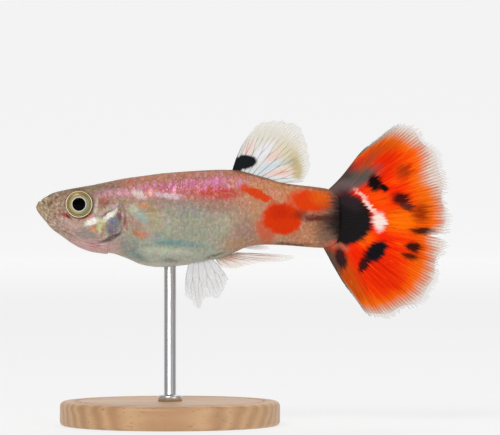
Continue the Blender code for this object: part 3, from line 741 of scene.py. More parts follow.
# %% Colours from belly to back, as height in millimetres and colour
LOWEST, HIGHEST = -5.3, 4.7
HEAD_LEVELS = [
    (-4.0, (206, 180, 172)), (-2.6, (190, 160, 152)), (-1.0, (182, 150, 138)),
    (0.6, (172, 140, 120)), (1.9, (160, 130, 108)), (2.7, (138, 114, 90)),
]
BODY_LEVELS = [
    (-5.2, (208, 208, 200)), (-4.6, (178, 182, 168)), (-3.2, (158, 164, 148)), (-1.2, (168, 160, 138)),
    (0.6, (166, 152, 132)), (1.7, (176, 138, 118)), (2.6, (188, 126, 106)), (4.4, (178, 112, 84)),
]
REAR_LEVELS = [
    (-3.4, (176, 132, 104)), (-2.0, (182, 136, 108)), (0.0, (182, 138, 108)), (1.6, (198, 134, 98)),
    (3.6, (200, 128, 86)), (4.4, (180, 112, 74)),
]


def levels(finish, up, rows):
    """A colour ramp over height, from belly to back."""
    stops = [((z - LOWEST) / (HIGHEST - LOWEST), colour) for z, colour in rows]
    return finish.ramp((up - LOWEST) * (1 / (HIGHEST - LOWEST)), stops)


# %% The colour that skin and scales share
def fish_colours(finish):
    """The colour of skin and scales, how silvery they are, and the place the marks are read at."""
    place = finish.chart()
    wide = finish.noise(place, 0.9, 3.0, 0.55, "Color")
    fine = finish.noise(place, 4.5, 4.0, 0.7, "Color")
    ragged = finish.moved(finish.moved(place, wide, 0.5), fine, 0.42)
    back, side, up = finish.parts(ragged)
    colour = finish.mixed(
        finish.stepped(back, 7.4, 9.8), levels(finish, up, HEAD_LEVELS), levels(finish, up, BODY_LEVELS)
    )
    colour = finish.mixed(finish.stepped(back, 18.4, 22.0), colour, levels(finish, up, REAR_LEVELS))
    colour = finish.marked(ragged, colour, BODY_MARKS)
    silver = None
    for mark in HEAD_MARKS.values():
        mask, colour = finish.laid(ragged, colour, mark)
        shine = mark[6]
        if shine:
            silver = mask * shine if silver is None else silver.most(mask * shine)
    colour = sparkle(finish, place, speckle(finish, place, colour))
    lumpy = finish.moved(ragged, finish.noise(place, 1.5, 2.0, 0.6, "Color"), 0.7)
    colour = finish.marked(lumpy, colour, BOLD_MARKS)
    hairs = finish.mapped(place, (0.5, 3.0, 4.0))
    drawn = finish.moved(ragged, finish.noise(hairs, 1.0, 3.0, 0.7, "Color"), 1.5)
    colour = finish.marked(drawn, colour, END_MARKS)
    # Painted shade: darker along the top edge of the back and head, near the middle.
    ridge = finish.stepped(side.size(), 0.5, 0.12) * finish.stepped(up, 1.0, 2.4)
    colour = finish.mixed(ridge * 0.75, colour, (112, 84, 64))
    return place, colour, silver


def speckle(finish, place, colour):
    """Fine play of colour and dark pigment cells, which the real skin has all over, and pale patches
    that are painted highlights, strongest on the snout.
    """
    back, _, up = finish.parts(place)
    snout = finish.stepped(back, 4.4, 2.0)
    high_or_ahead = finish.stepped(up, -0.6, 2.2).most(finish.stepped(back, 10.5, 8.5) * 0.28)
    lively = high_or_ahead * (1 - snout * 0.6)
    play = finish.noise(place, 1.7, 4.0, 0.7, "Color")
    colour = finish.mixed(finish.stepped(back, 3.0, 8.0) * 0.12 + 0.22, colour, play, "OVERLAY")
    glitter = finish.noise(place, 6.0, 2.0, 0.75, "Color")
    colour = finish.mixed(lively * 0.55 + 0.06, colour, glitter, "OVERLAY")
    cloud = finish.noise(place, 3.4, 3.0, 0.62)
    dim = finish.stepped(cloud, 0.5, 0.3)
    colour = finish.mixed(dim * (snout * 0.5 + 0.2), colour, (96, 76, 58))
    blots = finish.stepped(finish.noise(place, 2.7, 3.0, 0.6), 0.5, 0.64)
    colour = finish.mixed(snout * blots * 0.45, colour, (112, 92, 68))
    # Painted highlights: pale cream patches from the cloud, strongest on the snout.
    painted_highlights = finish.stepped(cloud, 0.5, 0.72)
    colour = finish.mixed(painted_highlights * (snout * 0.3 + 0.22), colour, (240, 228, 210))
    grain = finish.stepped(finish.noise(place, 8.0, 2.0, 0.7), 0.5, 0.68)
    return finish.mixed(grain * (lively * 0.3 + 0.04), colour, (86, 56, 48))


def sparkle(finish, place, colour):
    """Glints of the mirror cells: violet in a band under the back, all colours on the gill cover."""
    many = finish.moved((0.5, 0.5, 0.5), finish.noise(place, 2.4, 4.0, 0.65, "Color"), 1.8)
    gill = finish.blotch(place, (7.0, -0.5), (2.0, 2.0), 10, 0.4)
    colour = finish.mixed(gill * 0.45, colour, many, "OVERLAY")
    flecks = finish.stepped(finish.noise(place, 4.2, 3.0, 0.7), 0.52, 0.62)
    colour = finish.mixed(gill * flecks * 0.32, colour, (78, 72, 66))
    band = finish.blotch(place, (18.1, 3.05), (3.3, 0.6), 3, 0.5)
    rose = finish.blotch(place, (13.2, 2.8), (4.0, 0.6), 7, 0.5)
    rose = rose.most(finish.blotch(place, (8.3, 2.15), (2.4, 0.36), 8, 0.5, 0.8))
    tall = finish.mapped(place, (1.5, 1.0, 0.8))
    patches = finish.stepped(finish.noise(tall, 1.1, 3.0, 0.7), 0.48, 0.62)
    colour = finish.mixed(band * patches * 0.7, colour, (216, 126, 178))
    colour = finish.mixed(rose * patches * 0.6, colour, (206, 112, 142))
    dots = finish.stepped(finish.noise(tall, 4.6, 2.0, 0.8), 0.56, 0.7)
    return finish.mixed(band.most(rose) * dots * 0.75, colour, (255, 214, 224))


# %% The skin's finish
def skin_finish():
    finish = Finish("guppy_skin", Specular_IOR_Level=0.04, Coat_Weight=0.03, Coat_Roughness=0.12)
    place, colour, silver = fish_colours(finish)
    bump = finish.bump(finish.noise(place, 14.0, 3.0, 0.6), 0.4, 0.00004)
    finish.feed(Base_Color=colour, Metallic=silver, Roughness=0.5 - silver * 0.3, Normal=bump)
    return finish.material


skin.data.materials.append(skin_finish())
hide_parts("head", "lower_jaw", "gill_cover_left", "gill_cover_right", "trunk", "tail_stalk")
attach(skin, "root")

# %% [markdown]
# ## The scales
#
# A guppy has about 27 scales in a row from gill to tail. Neighbouring rows are offset by
# half a scale, like roof tiles, and each scale's rear edge stands free over the next.
# Here the rows are laid out flat on the skin's unwrap, one thin plate to each root, and
# Geometry Nodes wrap every plate on the skin at once: each point takes the skin's place
# under it and rises along the skin's normal by its own height.

# %% One plate and the roots
ROWS_ROUND = 12
SCALE_PITCH = 0.39
SCALE_LENGTH = 1.2
SCALE_WIDTH = 0.92
PLATE_POINTS = 12
PLATE_SINK = 0.03
PLATE_RISE = 0.05
PLATE_ARCHES = ((1.0, 0.0), (0.93, 0.012), (0.55, 0.022))
SCALES_FROM = 6.0
SCALES_TO = 30.0
GILL_OPENING = 9.35


def build_plate():
    """A closed plate one unit long and wide, its height in millimetres: sunk ahead, free behind."""
    turn = np.arange(PLATE_POINTS) / PLATE_POINTS * 2 * math.pi
    x, y = np.cos(turn), np.sin(turn)
    rim_x = np.where(x > 0, 0.5 * x, 0.5 * np.sign(x) * np.abs(x) ** 0.7)
    rim_y = 0.5 * np.sign(y) * np.abs(y) ** 0.8
    rings = []
    for share, arch in PLATE_ARCHES:
        height = -PLATE_SINK + PLATE_RISE * (rim_x * share + 0.5) + arch
        rings.append(np.stack([rim_x * share, rim_y * share, height], -1))
    under = rings[0] - (0, 0, PLATE_SINK)
    middles = [[0, 0, PLATE_SINK], [0, 0, -2 * PLATE_SINK]]
    points = np.concatenate([under, *rings, middles])
    n = PLATE_POINTS
    faces = []
    for j in range(n):
        k = (j + 1) % n
        faces += [(i * n + j, i * n + k, (i + 1) * n + k, (i + 1) * n + j) for i in range(3)]
        faces += [(3 * n + j, 3 * n + k, 4 * n), (k, j, 4 * n + 1)]
    made = new_object("scale_plate", points, faces)
    give(made.data, "plate", points * (2, 2, 1))
    face_out(made)
    return made


def side_height(at_back, v):
    """The chart height of the skin at a share of the way round from the keel."""
    ring = int(np.abs(back[:, 0] - at_back).argmin())
    return float(up[ring][int(v * SIDES) % SIDES])


def wanted(at_back, height, v):
    """Whether a scale grows here: behind the gill opening, and on the nape as far as the eyes."""
    if at_back > GILL_OPENING:
        return True
    nape = abs(v - 0.5) < 0.2 and height > 1.75 - 0.12 * (at_back - SCALES_FROM)
    return nape or (at_back > 8.9 and height > 0.9)


def scale_roots():
    """Each scale's place on the unwrap, and its length and width there."""
    roots, sizes = [], []
    at_back, column = SCALES_FROM, 0
    while at_back < SCALES_TO:
        taper = 0.72 + 0.28 * float(1 - ease(18, 30, at_back))
        small = 0.7 + 0.3 * float(ease(6, 9, at_back))
        for row in range(ROWS_ROUND):
            v = (row + 0.5 * (column % 2)) / ROWS_ROUND
            if wanted(at_back, side_height(at_back, v), v):
                length = SCALE_LENGTH * taper * small
                roots.append((at_back / BODY_LENGTH, v, 0))
                sizes.append((length / BODY_LENGTH, SCALE_WIDTH / ROWS_ROUND, 1))
        at_back += SCALE_PITCH * taper * small
        column += 1
    print("scale columns:", column)
    return roots, sizes


def build_roots():
    roots, sizes = scale_roots()
    made = new_object("scale_roots", roots, [])
    give(made.data, "size", sizes)
    return made


# %% Geometry Nodes trees
class Tree:
    """A Geometry Nodes tree with named inputs, which ends in smooth shading and a material."""

    def __init__(self, name, inputs):
        self.group = bpy.data.node_groups.new(name, "GeometryNodeTree")
        self.ids = {}
        self.add_socket("Geometry", "Geometry", "OUTPUT")
        for label, kind in {"Geometry": "Geometry", **inputs, "Material": "Material"}.items():
            self.ids[label] = self.add_socket(label, kind, "INPUT").identifier
        self.start = self.group.nodes.new("NodeGroupInput")
        self.end = self.group.nodes.new("NodeGroupOutput")

    def add_socket(self, label, kind, way):
        socket_type = "NodeSocket" + kind
        return self.group.interface.new_socket(label, in_out=way, socket_type=socket_type)

    def value(self, label):
        return self.start.outputs[label]

    def node(self, kind, settings=None, sockets=None, output=0):
        return add_node(self.group, kind, settings or {}, sockets or {}).outputs[output]

    def named(self, name, kind="FLOAT_VECTOR"):
        """A value stored on the points under this name."""
        return self.node("GeometryNodeInputNamedAttribute", {"data_type": kind}, {"Name": name})

    def stored(self, geometry, name, value, kind="FLOAT_VECTOR", domain="POINT"):
        """The geometry with a value stored on it under this name."""
        settings = {"data_type": kind, "domain": domain}
        sockets = {"Geometry": geometry, "Name": name, "Value": value}
        return self.node("GeometryNodeStoreNamedAttribute", settings, sockets)

    def vectors(self, operation, sockets):
        return self.node("ShaderNodeVectorMath", {"operation": operation}, sockets)

    def finish(self, geometry):
        smooth = self.node("GeometryNodeSetShadeSmooth", None, {0: geometry})
        sockets = {"Geometry": smooth, "Material": self.value("Material")}
        self.group.links.new(self.node("GeometryNodeSetMaterial", None, sockets), self.end.inputs[0])

    def applied(self, obj, name, values):
        """The tree's result on an object, as a plain mesh object with this name."""
        step = obj.modifiers.new("tree", "NODES")
        step.node_group = self.group
        for label, value in values.items():
            step[self.ids[label]] = value
        mesh = result_mesh(obj, name)
        obj.modifiers.remove(step)
        return in_scene(name, mesh)


# %% The tree of the scales
def scale_tree():
    tree = Tree("Wrap scales on the skin", {
        "Plate": "Object", "Skin": "Object", "Patch": "Float", "Millimetre": "Float", "Seed": "Int",
    })
    place = tree.node("GeometryNodeInputPosition")
    rooted = tree.stored(tree.value("Geometry"), "root", place)
    random = {"Seed": tree.value("Seed")}
    glint = tree.node("FunctionNodeRandomValue", {"data_type": "FLOAT"}, random, 1)
    tinted = tree.stored(rooted, "glint", glint, "FLOAT")
    points = tree.node("GeometryNodeMeshToPoints", None, {"Mesh": tinted})
    plate = tree.node("GeometryNodeObjectInfo", None, {"Object": tree.value("Plate")}, "Geometry")
    laid = tree.node("GeometryNodeInstanceOnPoints", None, {
        "Points": points, "Instance": plate, "Scale": tree.named("size"),
    })
    flat = tree.node("GeometryNodeRealizeInstances", None, {"Geometry": laid})
    parts = tree.node("ShaderNodeSeparateXYZ", None, {0: place}).node.outputs
    turn = tree.node("ShaderNodeMath", {"operation": "FRACT"}, {0: parts[1]})
    spot = tree.node("ShaderNodeCombineXYZ", None, {0: parts[0], 1: turn})
    skin_mesh = tree.node("GeometryNodeObjectInfo", None, {"Object": tree.value("Skin")}, "Geometry")

    def on_unwrap(value):
        """What the skin has at the same place on its unwrap."""
        return tree.node("GeometryNodeSampleUVSurface", {"data_type": "FLOAT_VECTOR"}, {
            "Mesh": skin_mesh, "Value": value, "UV Map": tree.named("OFBake"), "Sample UV": spot,
        })

    height = {0: parts[2], 1: tree.value("Millimetre")}
    rise = tree.node("ShaderNodeMath", {"operation": "MULTIPLY"}, height)
    outward = on_unwrap(tree.node("GeometryNodeInputNormal"))
    lift = tree.vectors("SCALE", {"Vector": outward, "Scale": rise})
    wrapped = tree.vectors("ADD", {0: on_unwrap(place), 1: lift})
    on_skin = tree.node("GeometryNodeSetPosition", None, {"Geometry": flat, "Position": wrapped})
    small = tree.vectors("SCALE", {"Vector": tree.named("plate"), "Scale": tree.value("Patch")})
    patch = tree.vectors("ADD", {0: tree.named("root"), 1: small})
    tree.finish(tree.stored(on_skin, "OFBake", patch, "FLOAT2", "CORNER"))
    return tree


# %% [markdown]
# A scale's finish is the fish's own colour with three things added: the dark net that
# pigment makes along each free edge, fine growth lines, and glints. Glints follow each
# scale's own random number, so single scales flash pink and violet along the back and
# silver on the flank.


# %% The scales' finish
def scale_finish():
    finish = Finish("guppy_scales", Specular_IOR_Level=0.04, Coat_Weight=0.03, Coat_Roughness=0.1)
    place, colour, silver = fish_colours(finish)
    glint = finish.attribute("glint", "Fac")
    _, _, up = finish.parts(place)
    x, y, _ = finish.parts(finish.attribute("plate"))
    edge = finish.stepped(x * x + y * y, 0.62, 1.0) * finish.stepped(x, -0.1, 0.4)
    above = finish.stepped(up, 0.4, 2.6)
    colour = finish.mixed(edge * (above * 0.34 + 0.06), colour, (112, 70, 64))
    flash = finish.stepped(glint, 0.3, 0.95) * finish.stepped(x, -0.2, 0.5) * (1 - edge)
    narrow = finish.stepped(y.size(), 0.8, 0.2) * finish.stepped(x, 0.0, 0.5)
    rosy = finish.blotch(place, (15.0, 3.0), (7.0, 0.95), 6, 0.5)
    uneven = finish.stepped(finish.noise(place, 5.0, 3.0, 0.7), 0.35, 0.6)
    colour = finish.mixed(flash * narrow * rosy * uneven * 0.6, colour, (244, 178, 226))
    shine = flash * narrow * rosy * 0.3
    lines = finish.sine((x * x + y * y) * 42.0)
    bump = finish.bump(lines * 0.3 + finish.noise(place, 12.0, 2.0, 0.6), 0.3, 0.00003)
    rough = 0.4 - shine * 0.3
    finish.feed(Base_Color=colour, Metallic=silver.most(shine), Roughness=rough, Normal=bump)
    return finish.material


# %% Lay the scales
BAKE_PATCH = 0.0015
GLINT_SEED = 7
plate = build_plate()
roots = build_roots()
print("scales:", len(roots.data.vertices))
scales = scale_tree().applied(roots, "guppy_scales", {
    "Plate": plate, "Skin": skin, "Patch": BAKE_PATCH, "Millimetre": MM, "Seed": GLINT_SEED,
    "Material": scale_finish(),
})
for helper in (plate, roots):
    bpy.data.objects.remove(helper)
print("scale faces:", len(scales.data.polygons))
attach(scales, "root")

# %% [markdown]
# ## The eyes
#
# A guppy's eye is a clear shallow dome. Behind it lies a flat ring, the iris, with a
# black pupil that bulges a little, because the round lens shows through it. The iris is
# turned like a plate: each ring of it has its own height and colour.

# %% Build an eye
EYE_SEGMENTS = 64
EYE_ROWS = 58
FLATTENED = 1e6
EYE_PROFILE = [
    (0.0, 0.815), (0.3, 0.80), (0.52, 0.762), (0.64, 0.715), (0.68, 0.665), (0.74, 0.672),
    (0.86, 0.675), (1.0, 0.645), (1.06, 0.60), (1.12, 0.585), (1.2, 0.57), (1.27, 0.55),
    (1.325, 0.49), (1.355, 0.3), (1.36, 0.0), (1.2, -0.36), (0.8, -0.68), (0.0, -0.84),
]


def build_eye(side, word):
    """A turned eyeball: the profile gives radius and how far out of the head, in millimetres."""
    profile = along(EYE_PROFILE, np.linspace(0, 1, EYE_ROWS))
    turn = np.arange(EYE_SEGMENTS) / EYE_SEGMENTS * 2 * math.pi

    def ring(radius, height, turn):
        around = EYE_CENTRE[0] + radius * np.cos(turn), EYE_CENTRE[1] + radius * np.sin(turn)
        return placed(*around, side * (EYE_OUT + height))

    vertices = [ring(*row, turn) for row in profile[1:-1]]
    poles = [ring(0.0, profile[i][1], np.zeros(1)) for i in (0, -1)]
    faces = tube_faces(EYE_ROWS - 2, EYE_SEGMENTS)
    made = new_object(f"guppy_eye_{word}", np.concatenate(vertices + poles), faces)
    face_out(made)
    return made


def eye_finish():
    """Rings of colour by distance from the eye's centre, with a painted reflection of the sky's grey on
    one side.
    """
    finish = Finish("guppy_eye", Specular_IOR_Level=0.02, Coat_Weight=0.04, Coat_Roughness=0.02)
    place = finish.chart()
    wander = finish.moved(place, finish.noise(place, 2.0, 2.0, 0.6, "Color"), 0.05)
    middle = (EYE_CENTRE[0], 0, EYE_CENTRE[1])
    sockets = {"Vector": wander, "Location": middle, "Scale": (1, FLATTENED, 1)}
    centred = finish.node("ShaderNodeMapping", {"vector_type": "TEXTURE"}, sockets)
    radius = finish.vectors("LENGTH", centred, output="Value")
    x, _, z = finish.parts(centred)
    # The last two stops darken the very rim: a painted shadow of the skin fold round the eye.
    stops = [
        (0.0, (2, 1, 3)), (0.482, (3, 2, 4)), (0.5, (236, 226, 204)), (0.535, (230, 218, 192)),
        (0.56, (188, 174, 138)), (0.66, (176, 162, 122)), (0.75, (152, 136, 96)),
        (0.785, (84, 66, 38)), (0.805, (140, 122, 78)), (0.83, (190, 174, 124)),
        (0.855, (124, 106, 68)), (0.908, (112, 94, 58)), (0.925, (244, 232, 180)),
        (0.968, (252, 242, 200)), (0.982, (110, 86, 56)), (1.0, (56, 40, 32)),
    ]
    ringed = finish.ramp(radius * (1 / EYE_RADIUS), stops)
    iris = finish.stepped(radius, 0.70, 0.76) * finish.stepped(radius, 1.04, 0.98)
    # Painted reflection: the sky's grey laid over the rear and lower side of the iris.
    teal = iris * finish.stepped(x * 0.9 - z * 0.3, 0.1, 0.9)
    colour = finish.mixed(teal * 0.7, ringed, (128, 140, 134))
    green = finish.blotch(place, (5.1, 0.15), (0.45, 0.3), 40, 0.5)
    colour = finish.mixed(green * iris * 0.6, colour, (92, 138, 96))
    # Painted shade: the top of the iris is darkened.
    top = finish.stepped(z, 0.3, 1.1) * finish.stepped(radius, 0.72, 0.8)
    colour = finish.mixed(top * 0.35, colour, (120, 96, 70))
    grain = finish.noise(place, 16.0, 2.0, 0.7)
    colour = finish.mixed(iris * finish.stepped(grain, 0.45, 0.7) * 0.3, colour, (120, 104, 70))
    metal = finish.stepped(radius, 0.68, 0.74) * finish.stepped(radius, 1.26, 1.2) * 0.35
    bump = finish.bump(grain, 0.2, 0.00002)
    finish.feed(Base_Color=colour, Metallic=metal, Roughness=0.12 + metal * 0.6, Normal=bump)
    return finish.material


eye_material = eye_finish()
for side, word in BOTH_SIDES:
    eye = build_eye(side, word)
    eye.data.materials.append(eye_material)
    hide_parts(f"eye_{word}")
    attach(eye, "root")

# %% [markdown]
# ## The fins
#
# Each fin is a fan: rays leave a root line on the body and end at a tip line, and a thin
# web joins them. One function gives any point of the fan, by its share from first ray to
# last and its reach from root to tip. The web is a grid of such points given a little
# thickness. The rays are paths through the same fan, which branch once or twice on their
# way out as real soft rays do, and Geometry Nodes turn the paths into tapering rods.

# %% Fans, as in the solids
FINS = {
    "dorsal_fin": dict(
        root=[(64.1, 14.0), (66.6, 13.1), (70.0, 12.1), (75.6, 10.7)],
        tip=[
            (67.6, 23.4), (71.6, 28.9), (75.0, 31.0), (80.2, 31.3), (84.8, 30.5), (87.4, 28.2),
            (88.8, 24.0), (89.9, 19.0), (89.5, 14.2), (87.4, 10.9),
        ],
        rays=11, bow=0.03, ripple=0.5, branches=3, thickness=0.085, fringe=0.035,
    ),
    "caudal_fin": dict(
        root=[
            (95.2, 7.8), (97.8, 5.4), (98.6, 2.0), (98.8, -1.0), (98.6, -4.0),
            (97.2, -7.6), (94.0, -10.5),
        ],
        tip=[
            (97.7, 10.0), (101.5, 14.3), (107.0, 21.4), (113.0, 26.3), (119.4, 30.2), (123.8, 29.6),
            (127.8, 26.9), (131.4, 21.8), (134.0, 14.6), (135.6, 7.0), (135.9, -0.4), (135.1, -8.0),
            (133.6, -15.8),
            (131.3, -23.2), (127.2, -28.6), (120.8, -32.2), (114.6, -34.2), (109.4, -33.6),
            (104.9, -28.2), (100.9, -22.8), (97.3, -16.8), (95.3, -12.9),
        ],
        rays=34, bow=0.02, ripple=0.7, branches=3, thickness=0.13, fringe=0.06,
        cleft_at=(135.0, -7.4), cleft_depth=0.15, taper=0.45,
    ),
    "gonopodium": dict(
        root=[(58.4, -14.0), (61.0, -13.4), (63.6, -12.8), (65.4, -12.3)],
        tip=[
            (60.6, -17.1), (64.6, -17.6), (68.4, -16.6), (74.4, -15.5), (80.6, -15.3),
            (85.0, -13.8), (82.0, -13.0), (76.4, -12.7),
        ],
        rays=9, bow=0.0, ripple=0.0, branches=1, thickness=0.10, fringe=0.01,
    ),
    "anal_fin": dict(
        root=[(66.4, -10.6), (68.4, -9.9), (70.4, -9.5)],
        tip=[(72.0, -11.5), (74.8, -11.5), (76.5, -10.9), (75.8, -10.2)],
        rays=6, bow=0.02, ripple=0.0, branches=0, thickness=0.07, fringe=0.03,
    ),
    "pelvic_fin": dict(
        root=[(50.2, -15.2), (52.4, -15.0), (54.8, -14.8), (57.4, -14.3)],
        tip=[
            (48.9, -27.0), (51.0, -29.2), (53.4, -31.9), (54.9, -28.3), (57.2, -27.6),
            (59.4, -28.2), (61.4, -25.2), (62.9, -21.6),
        ],
        rays=6, bow=-0.05, ripple=0.0, branches=2, thickness=0.09, fringe=0.03,
    ),
    "pectoral_fin": dict(
        root=[(0.0, 1.9), (0.4, 0.6), (0.4, -0.6), (0.0, -1.9)],
        tip=[(13.0, 5.6), (16.4, 4.0), (17.4, 1.0), (16.4, -2.6), (13.0, -5.4), (9.0, -6.6)],
        rays=12, bow=-0.03, ripple=0.3, branches=1, thickness=0.06, fringe=0.02,
    ),
}
RIPPLE_HALF_WAVES = 3.5
PELVIC_OUTWARD = 2.0
PELVIC_SPLAY = math.radians(17)
PECTORAL_START = (30.3, 7.4, -0.8)
PECTORAL_SPLAY = math.radians(30)
PECTORAL_DROOP = math.radians(-14)
WEB_THICKNESS = 0.03
WEB_COLUMNS_A_TIP = 2
WEB_ROWS = 34


def fan(fin, share, reach):
    """Chart points of a fan in hundredths, with the sideways ripple: back, up, wave."""
    root, tip = along(fin["root"], share), along(fin["tip"], share)
    run = tip - root
    sideways = np.stack([-run[:, 1], run[:, 0]], -1)
    bow = fin["bow"] * np.cos(math.pi * share) * 4 * reach * (1 - reach)
    flat = root + run * reach[:, None] + sideways * bow[:, None]
    wave = fin["ripple"] * reach * np.sin(RIPPLE_HALF_WAVES * math.pi * share)
    return flat[:, 0], flat[:, 1], wave


def in_midplane(x, z, wave):
    return x, z, wave


def pelvic_place(side):
    """Hinges the flat fin outwards about its root, on the left (-1) or right (1) side."""
    root_height = FINS["pelvic_fin"]["root"][0][1]

    def place(x, z, wave):
        down = root_height - z
        outward = PELVIC_OUTWARD + down * math.sin(PELVIC_SPLAY) + wave
        return x, root_height - down * math.cos(PELVIC_SPLAY), side * outward

    return place


def pectoral_place(side):
    """Swings the flat fin out from the flank and lets its tip droop a little."""
    start = Vector(PECTORAL_START)
    swing = Matrix.Rotation(PECTORAL_SPLAY, 3, "Z") @ Matrix.Rotation(-PECTORAL_DROOP, 3, "Y")
    turn = np.array(swing)

    def place(x, z, wave):
        moved = turn @ np.stack([x, wave, z])
        return start.x + moved[0], start.z + moved[2], side * (start.y + moved[1])

    return place


def fan_place(fin, place, share, reach):
    """World points of a fan, in metres."""
    x, z, wave = place(*fan(fin, share, reach))
    return placed(x * HUNDREDTH, z * HUNDREDTH, wave * HUNDREDTH)


def tip_count(fin):
    return fin["rays"] * 2 ** fin["branches"]


def cleft_share(fin):
    """The share at which a tail's cleft meets its edge."""
    shares = np.linspace(0, 1, 2000)
    edge = along(fin["tip"], shares)
    return shares[np.hypot(*(edge - fin["cleft_at"]).T).argmin()]


def edge_reach(fin, share):
    """How far out the web goes: short of the ray tips, less between them, much less in a cleft."""
    scallop = 0.3 * fin["fringe"] * np.abs(np.sin(math.pi * share * (tip_count(fin) - 1)))
    wander = 0.5 * fin["fringe"] * np.sin(share * 61) * np.sin(share * 23 + 1)
    cut = 0.99 - fin["fringe"] * 0.7 - scallop + wander
    if "cleft_at" in fin:
        cut = cut - fin["cleft_depth"] * bump_at(share - cleft_share(fin), 0.0055)
    return cut


# %% Webs
def build_web(name, fin, place):
    """The web of a fin: a sheet of quads through the fan, made solid."""
    columns = tip_count(fin) * WEB_COLUMNS_A_TIP + 1
    share = np.linspace(0, 1, columns)
    edge = edge_reach(fin, share)
    vertices, marks = [], []
    for row in range(WEB_ROWS + 1):
        reach = edge * row / WEB_ROWS
        vertices.append(fan_place(fin, place, share, reach))
        marks.append(np.stack([share, reach, 0 * share], -1))
    faces = [
        (i * columns + j, i * columns + j + 1, (i + 1) * columns + j + 1, (i + 1) * columns + j)
        for i in range(WEB_ROWS)
        for j in range(columns - 1)
    ]
    made = new_object(name, np.concatenate(vertices), faces)
    give(made.data, "fan", np.concatenate(marks))
    solid = made.modifiers.new("thickness", "SOLIDIFY")
    solid.thickness = WEB_THICKNESS * MM
    solid.offset = 0.0
    return made


# %% Rays
RAY_STEPS = 10
RAY_SEED = 11
FORKS = (0.36, 0.58, 0.78)


def ray_paths(fin):
    """Paths of a fin's rays: shares and reaches of its points. Each fork splits a ray in two."""
    paths = []
    gap = 1 / (fin["rays"] - 1)
    for ray in range(fin["rays"]):
        middle = ray * gap
        forks = FORKS[: fin["branches"]]
        trunk_end = forks[0] if forks else 1.0
        reach = np.linspace(0, trunk_end, RAY_STEPS)
        paths.append((np.full(RAY_STEPS, middle), reach))
        stems = [(middle, gap)]
        for n, fork in enumerate(forks):
            next_end = forks[n + 1] if n + 1 < len(forks) else 1.0
            grown = []
            for stem, width in stems:
                for way in (-1, 1):
                    goal = stem + way * width / 4
                    reach = np.linspace(fork, next_end, RAY_STEPS)
                    spread = ease(fork, next_end, reach)
                    paths.append((stem + (goal - stem) * spread, reach))
                    grown.append((stem + (goal - stem) * spread[-1], width / 2))
            stems = grown
    return paths


def build_ray_lines(name, fin, place):
    """The rays' paths as one mesh of edges, with each point's radius as an attribute."""
    vertices, edges, radii, marks = [], [], [], []
    lengths = np.random.default_rng(RAY_SEED)
    for share, reach in ray_paths(fin):
        share = np.clip(share, 0, 1)
        limit = edge_reach(fin, share) + fin["fringe"] * lengths.uniform(0.25, 1.0)
        first = len(radii)
        if reach[-1] == 1:
            reach = reach[0] + (reach - reach[0]) * (min(1, limit[-1] - reach[0]) / (1 - reach[0]))
        vertices.append(fan_place(fin, place, share, reach))
        radii += list(fin["thickness"] / 2 * (1 - fin.get("taper", 0.8) * reach ** 0.8))
        marks.append(np.stack([share, reach, 0 * share], -1))
        edges += [(i, i + 1) for i in range(first, len(radii) - 1)]
    mesh = bpy.data.meshes.new(name + "_lines")
    mesh.from_pydata([tuple(v) for v in np.concatenate(vertices)], edges, [])
    give(mesh, "thick", radii)
    give(mesh, "fan", np.concatenate(marks))
    return in_scene(name + "_lines", mesh)


def ray_tree():
    tree = Tree("Turn paths into rays", {"Sides": "Int", "Millimetre": "Float"})
    thick = tree.named("thick", "FLOAT")
    curve = tree.node("GeometryNodeMeshToCurve", None, {"Mesh": tree.value("Geometry")})
    sized = tree.node("GeometryNodeSetCurveRadius", None, {"Curve": curve, "Radius": thick})
    profile = tree.node("GeometryNodeCurvePrimitiveCircle", {"mode": "RADIUS"}, {
        "Resolution": tree.value("Sides"), "Radius": tree.value("Millimetre"),
    })
    rods = tree.node("GeometryNodeCurveToMesh", None, {
        "Curve": sized, "Profile Curve": profile, "Scale": thick, "Fill Caps": True,
    })
    tree.finish(tree.node("GeometryNodeRealizeInstances", None, {"Geometry": rods}))
    return tree


rays_from_paths = ray_tree()


# %% [markdown]
# The clear fins are thin skin: almost see-through, milky near the body, with a grey or
# sand tint along the rays. The dorsal fin carries a black patch at its front root, a pale
# blue and rose base, and an olive arc near its rear edge. The tail is orange-red over
# its whole web up to a clear hem, with black spots, a black crescent round the end of the
# body and a white one behind that.

# %% Marks of the dorsal fin: centre, size, tilt, softness, colour, strength and how solid
DORSAL_MARKS = {
    "cream top": ((23.6, 7.7), (3.2, 1.7), -14, 0.7, (226, 220, 202), 0.9, 0.6),
    "cream middle": ((25.2, 5.9), (1.5, 1.5), 30, 0.6, (220, 206, 164), 0.9, 0.62),
    "olive arc": ((26.1, 4.7), (0.62, 1.6), 8, 0.6, (196, 176, 108), 0.9, 0.75),
    "olive dots": ((25.1, 5.3), (1.0, 0.3), 14, 0.6, (168, 160, 128), 0.6, 0.7),
    "pale blue base": ((23.2, 4.75), (1.7, 0.42), 22, 0.6, (214, 228, 238), 0.9, 0.85),
    "white base": ((21.9, 4.2), (1.3, 0.4), -8, 0.6, (222, 232, 236), 0.9, 0.9),
    "white streak": ((22.8, 6.4), (1.2, 0.42), 44, 0.6, (238, 238, 248), 0.9, 0.8),
    "rose front": ((21.3, 6.7), (0.34, 0.8), -24, 0.6, (242, 204, 198), 0.9, 0.7),
    "rose middle": ((23.8, 5.9), (1.0, 0.32), 36, 0.6, (240, 206, 194), 0.9, 0.7),
    "rose low": ((24.5, 4.25), (1.3, 0.34), 4, 0.6, (244, 200, 186), 0.9, 0.75),
    "white hem low": ((25.2, 3.55), (1.6, 0.2), -6, 0.6, (226, 232, 234), 0.8, 0.8),
    "black patch": ((20.9, 5.33), (1.15, 0.72), 4, 0.2, (15, 19, 23), 1.0, 1.0),
    "black front": ((20.05, 5.05), (0.75, 0.8), -24, 0.2, (15, 19, 23), 1.0, 1.0),
}

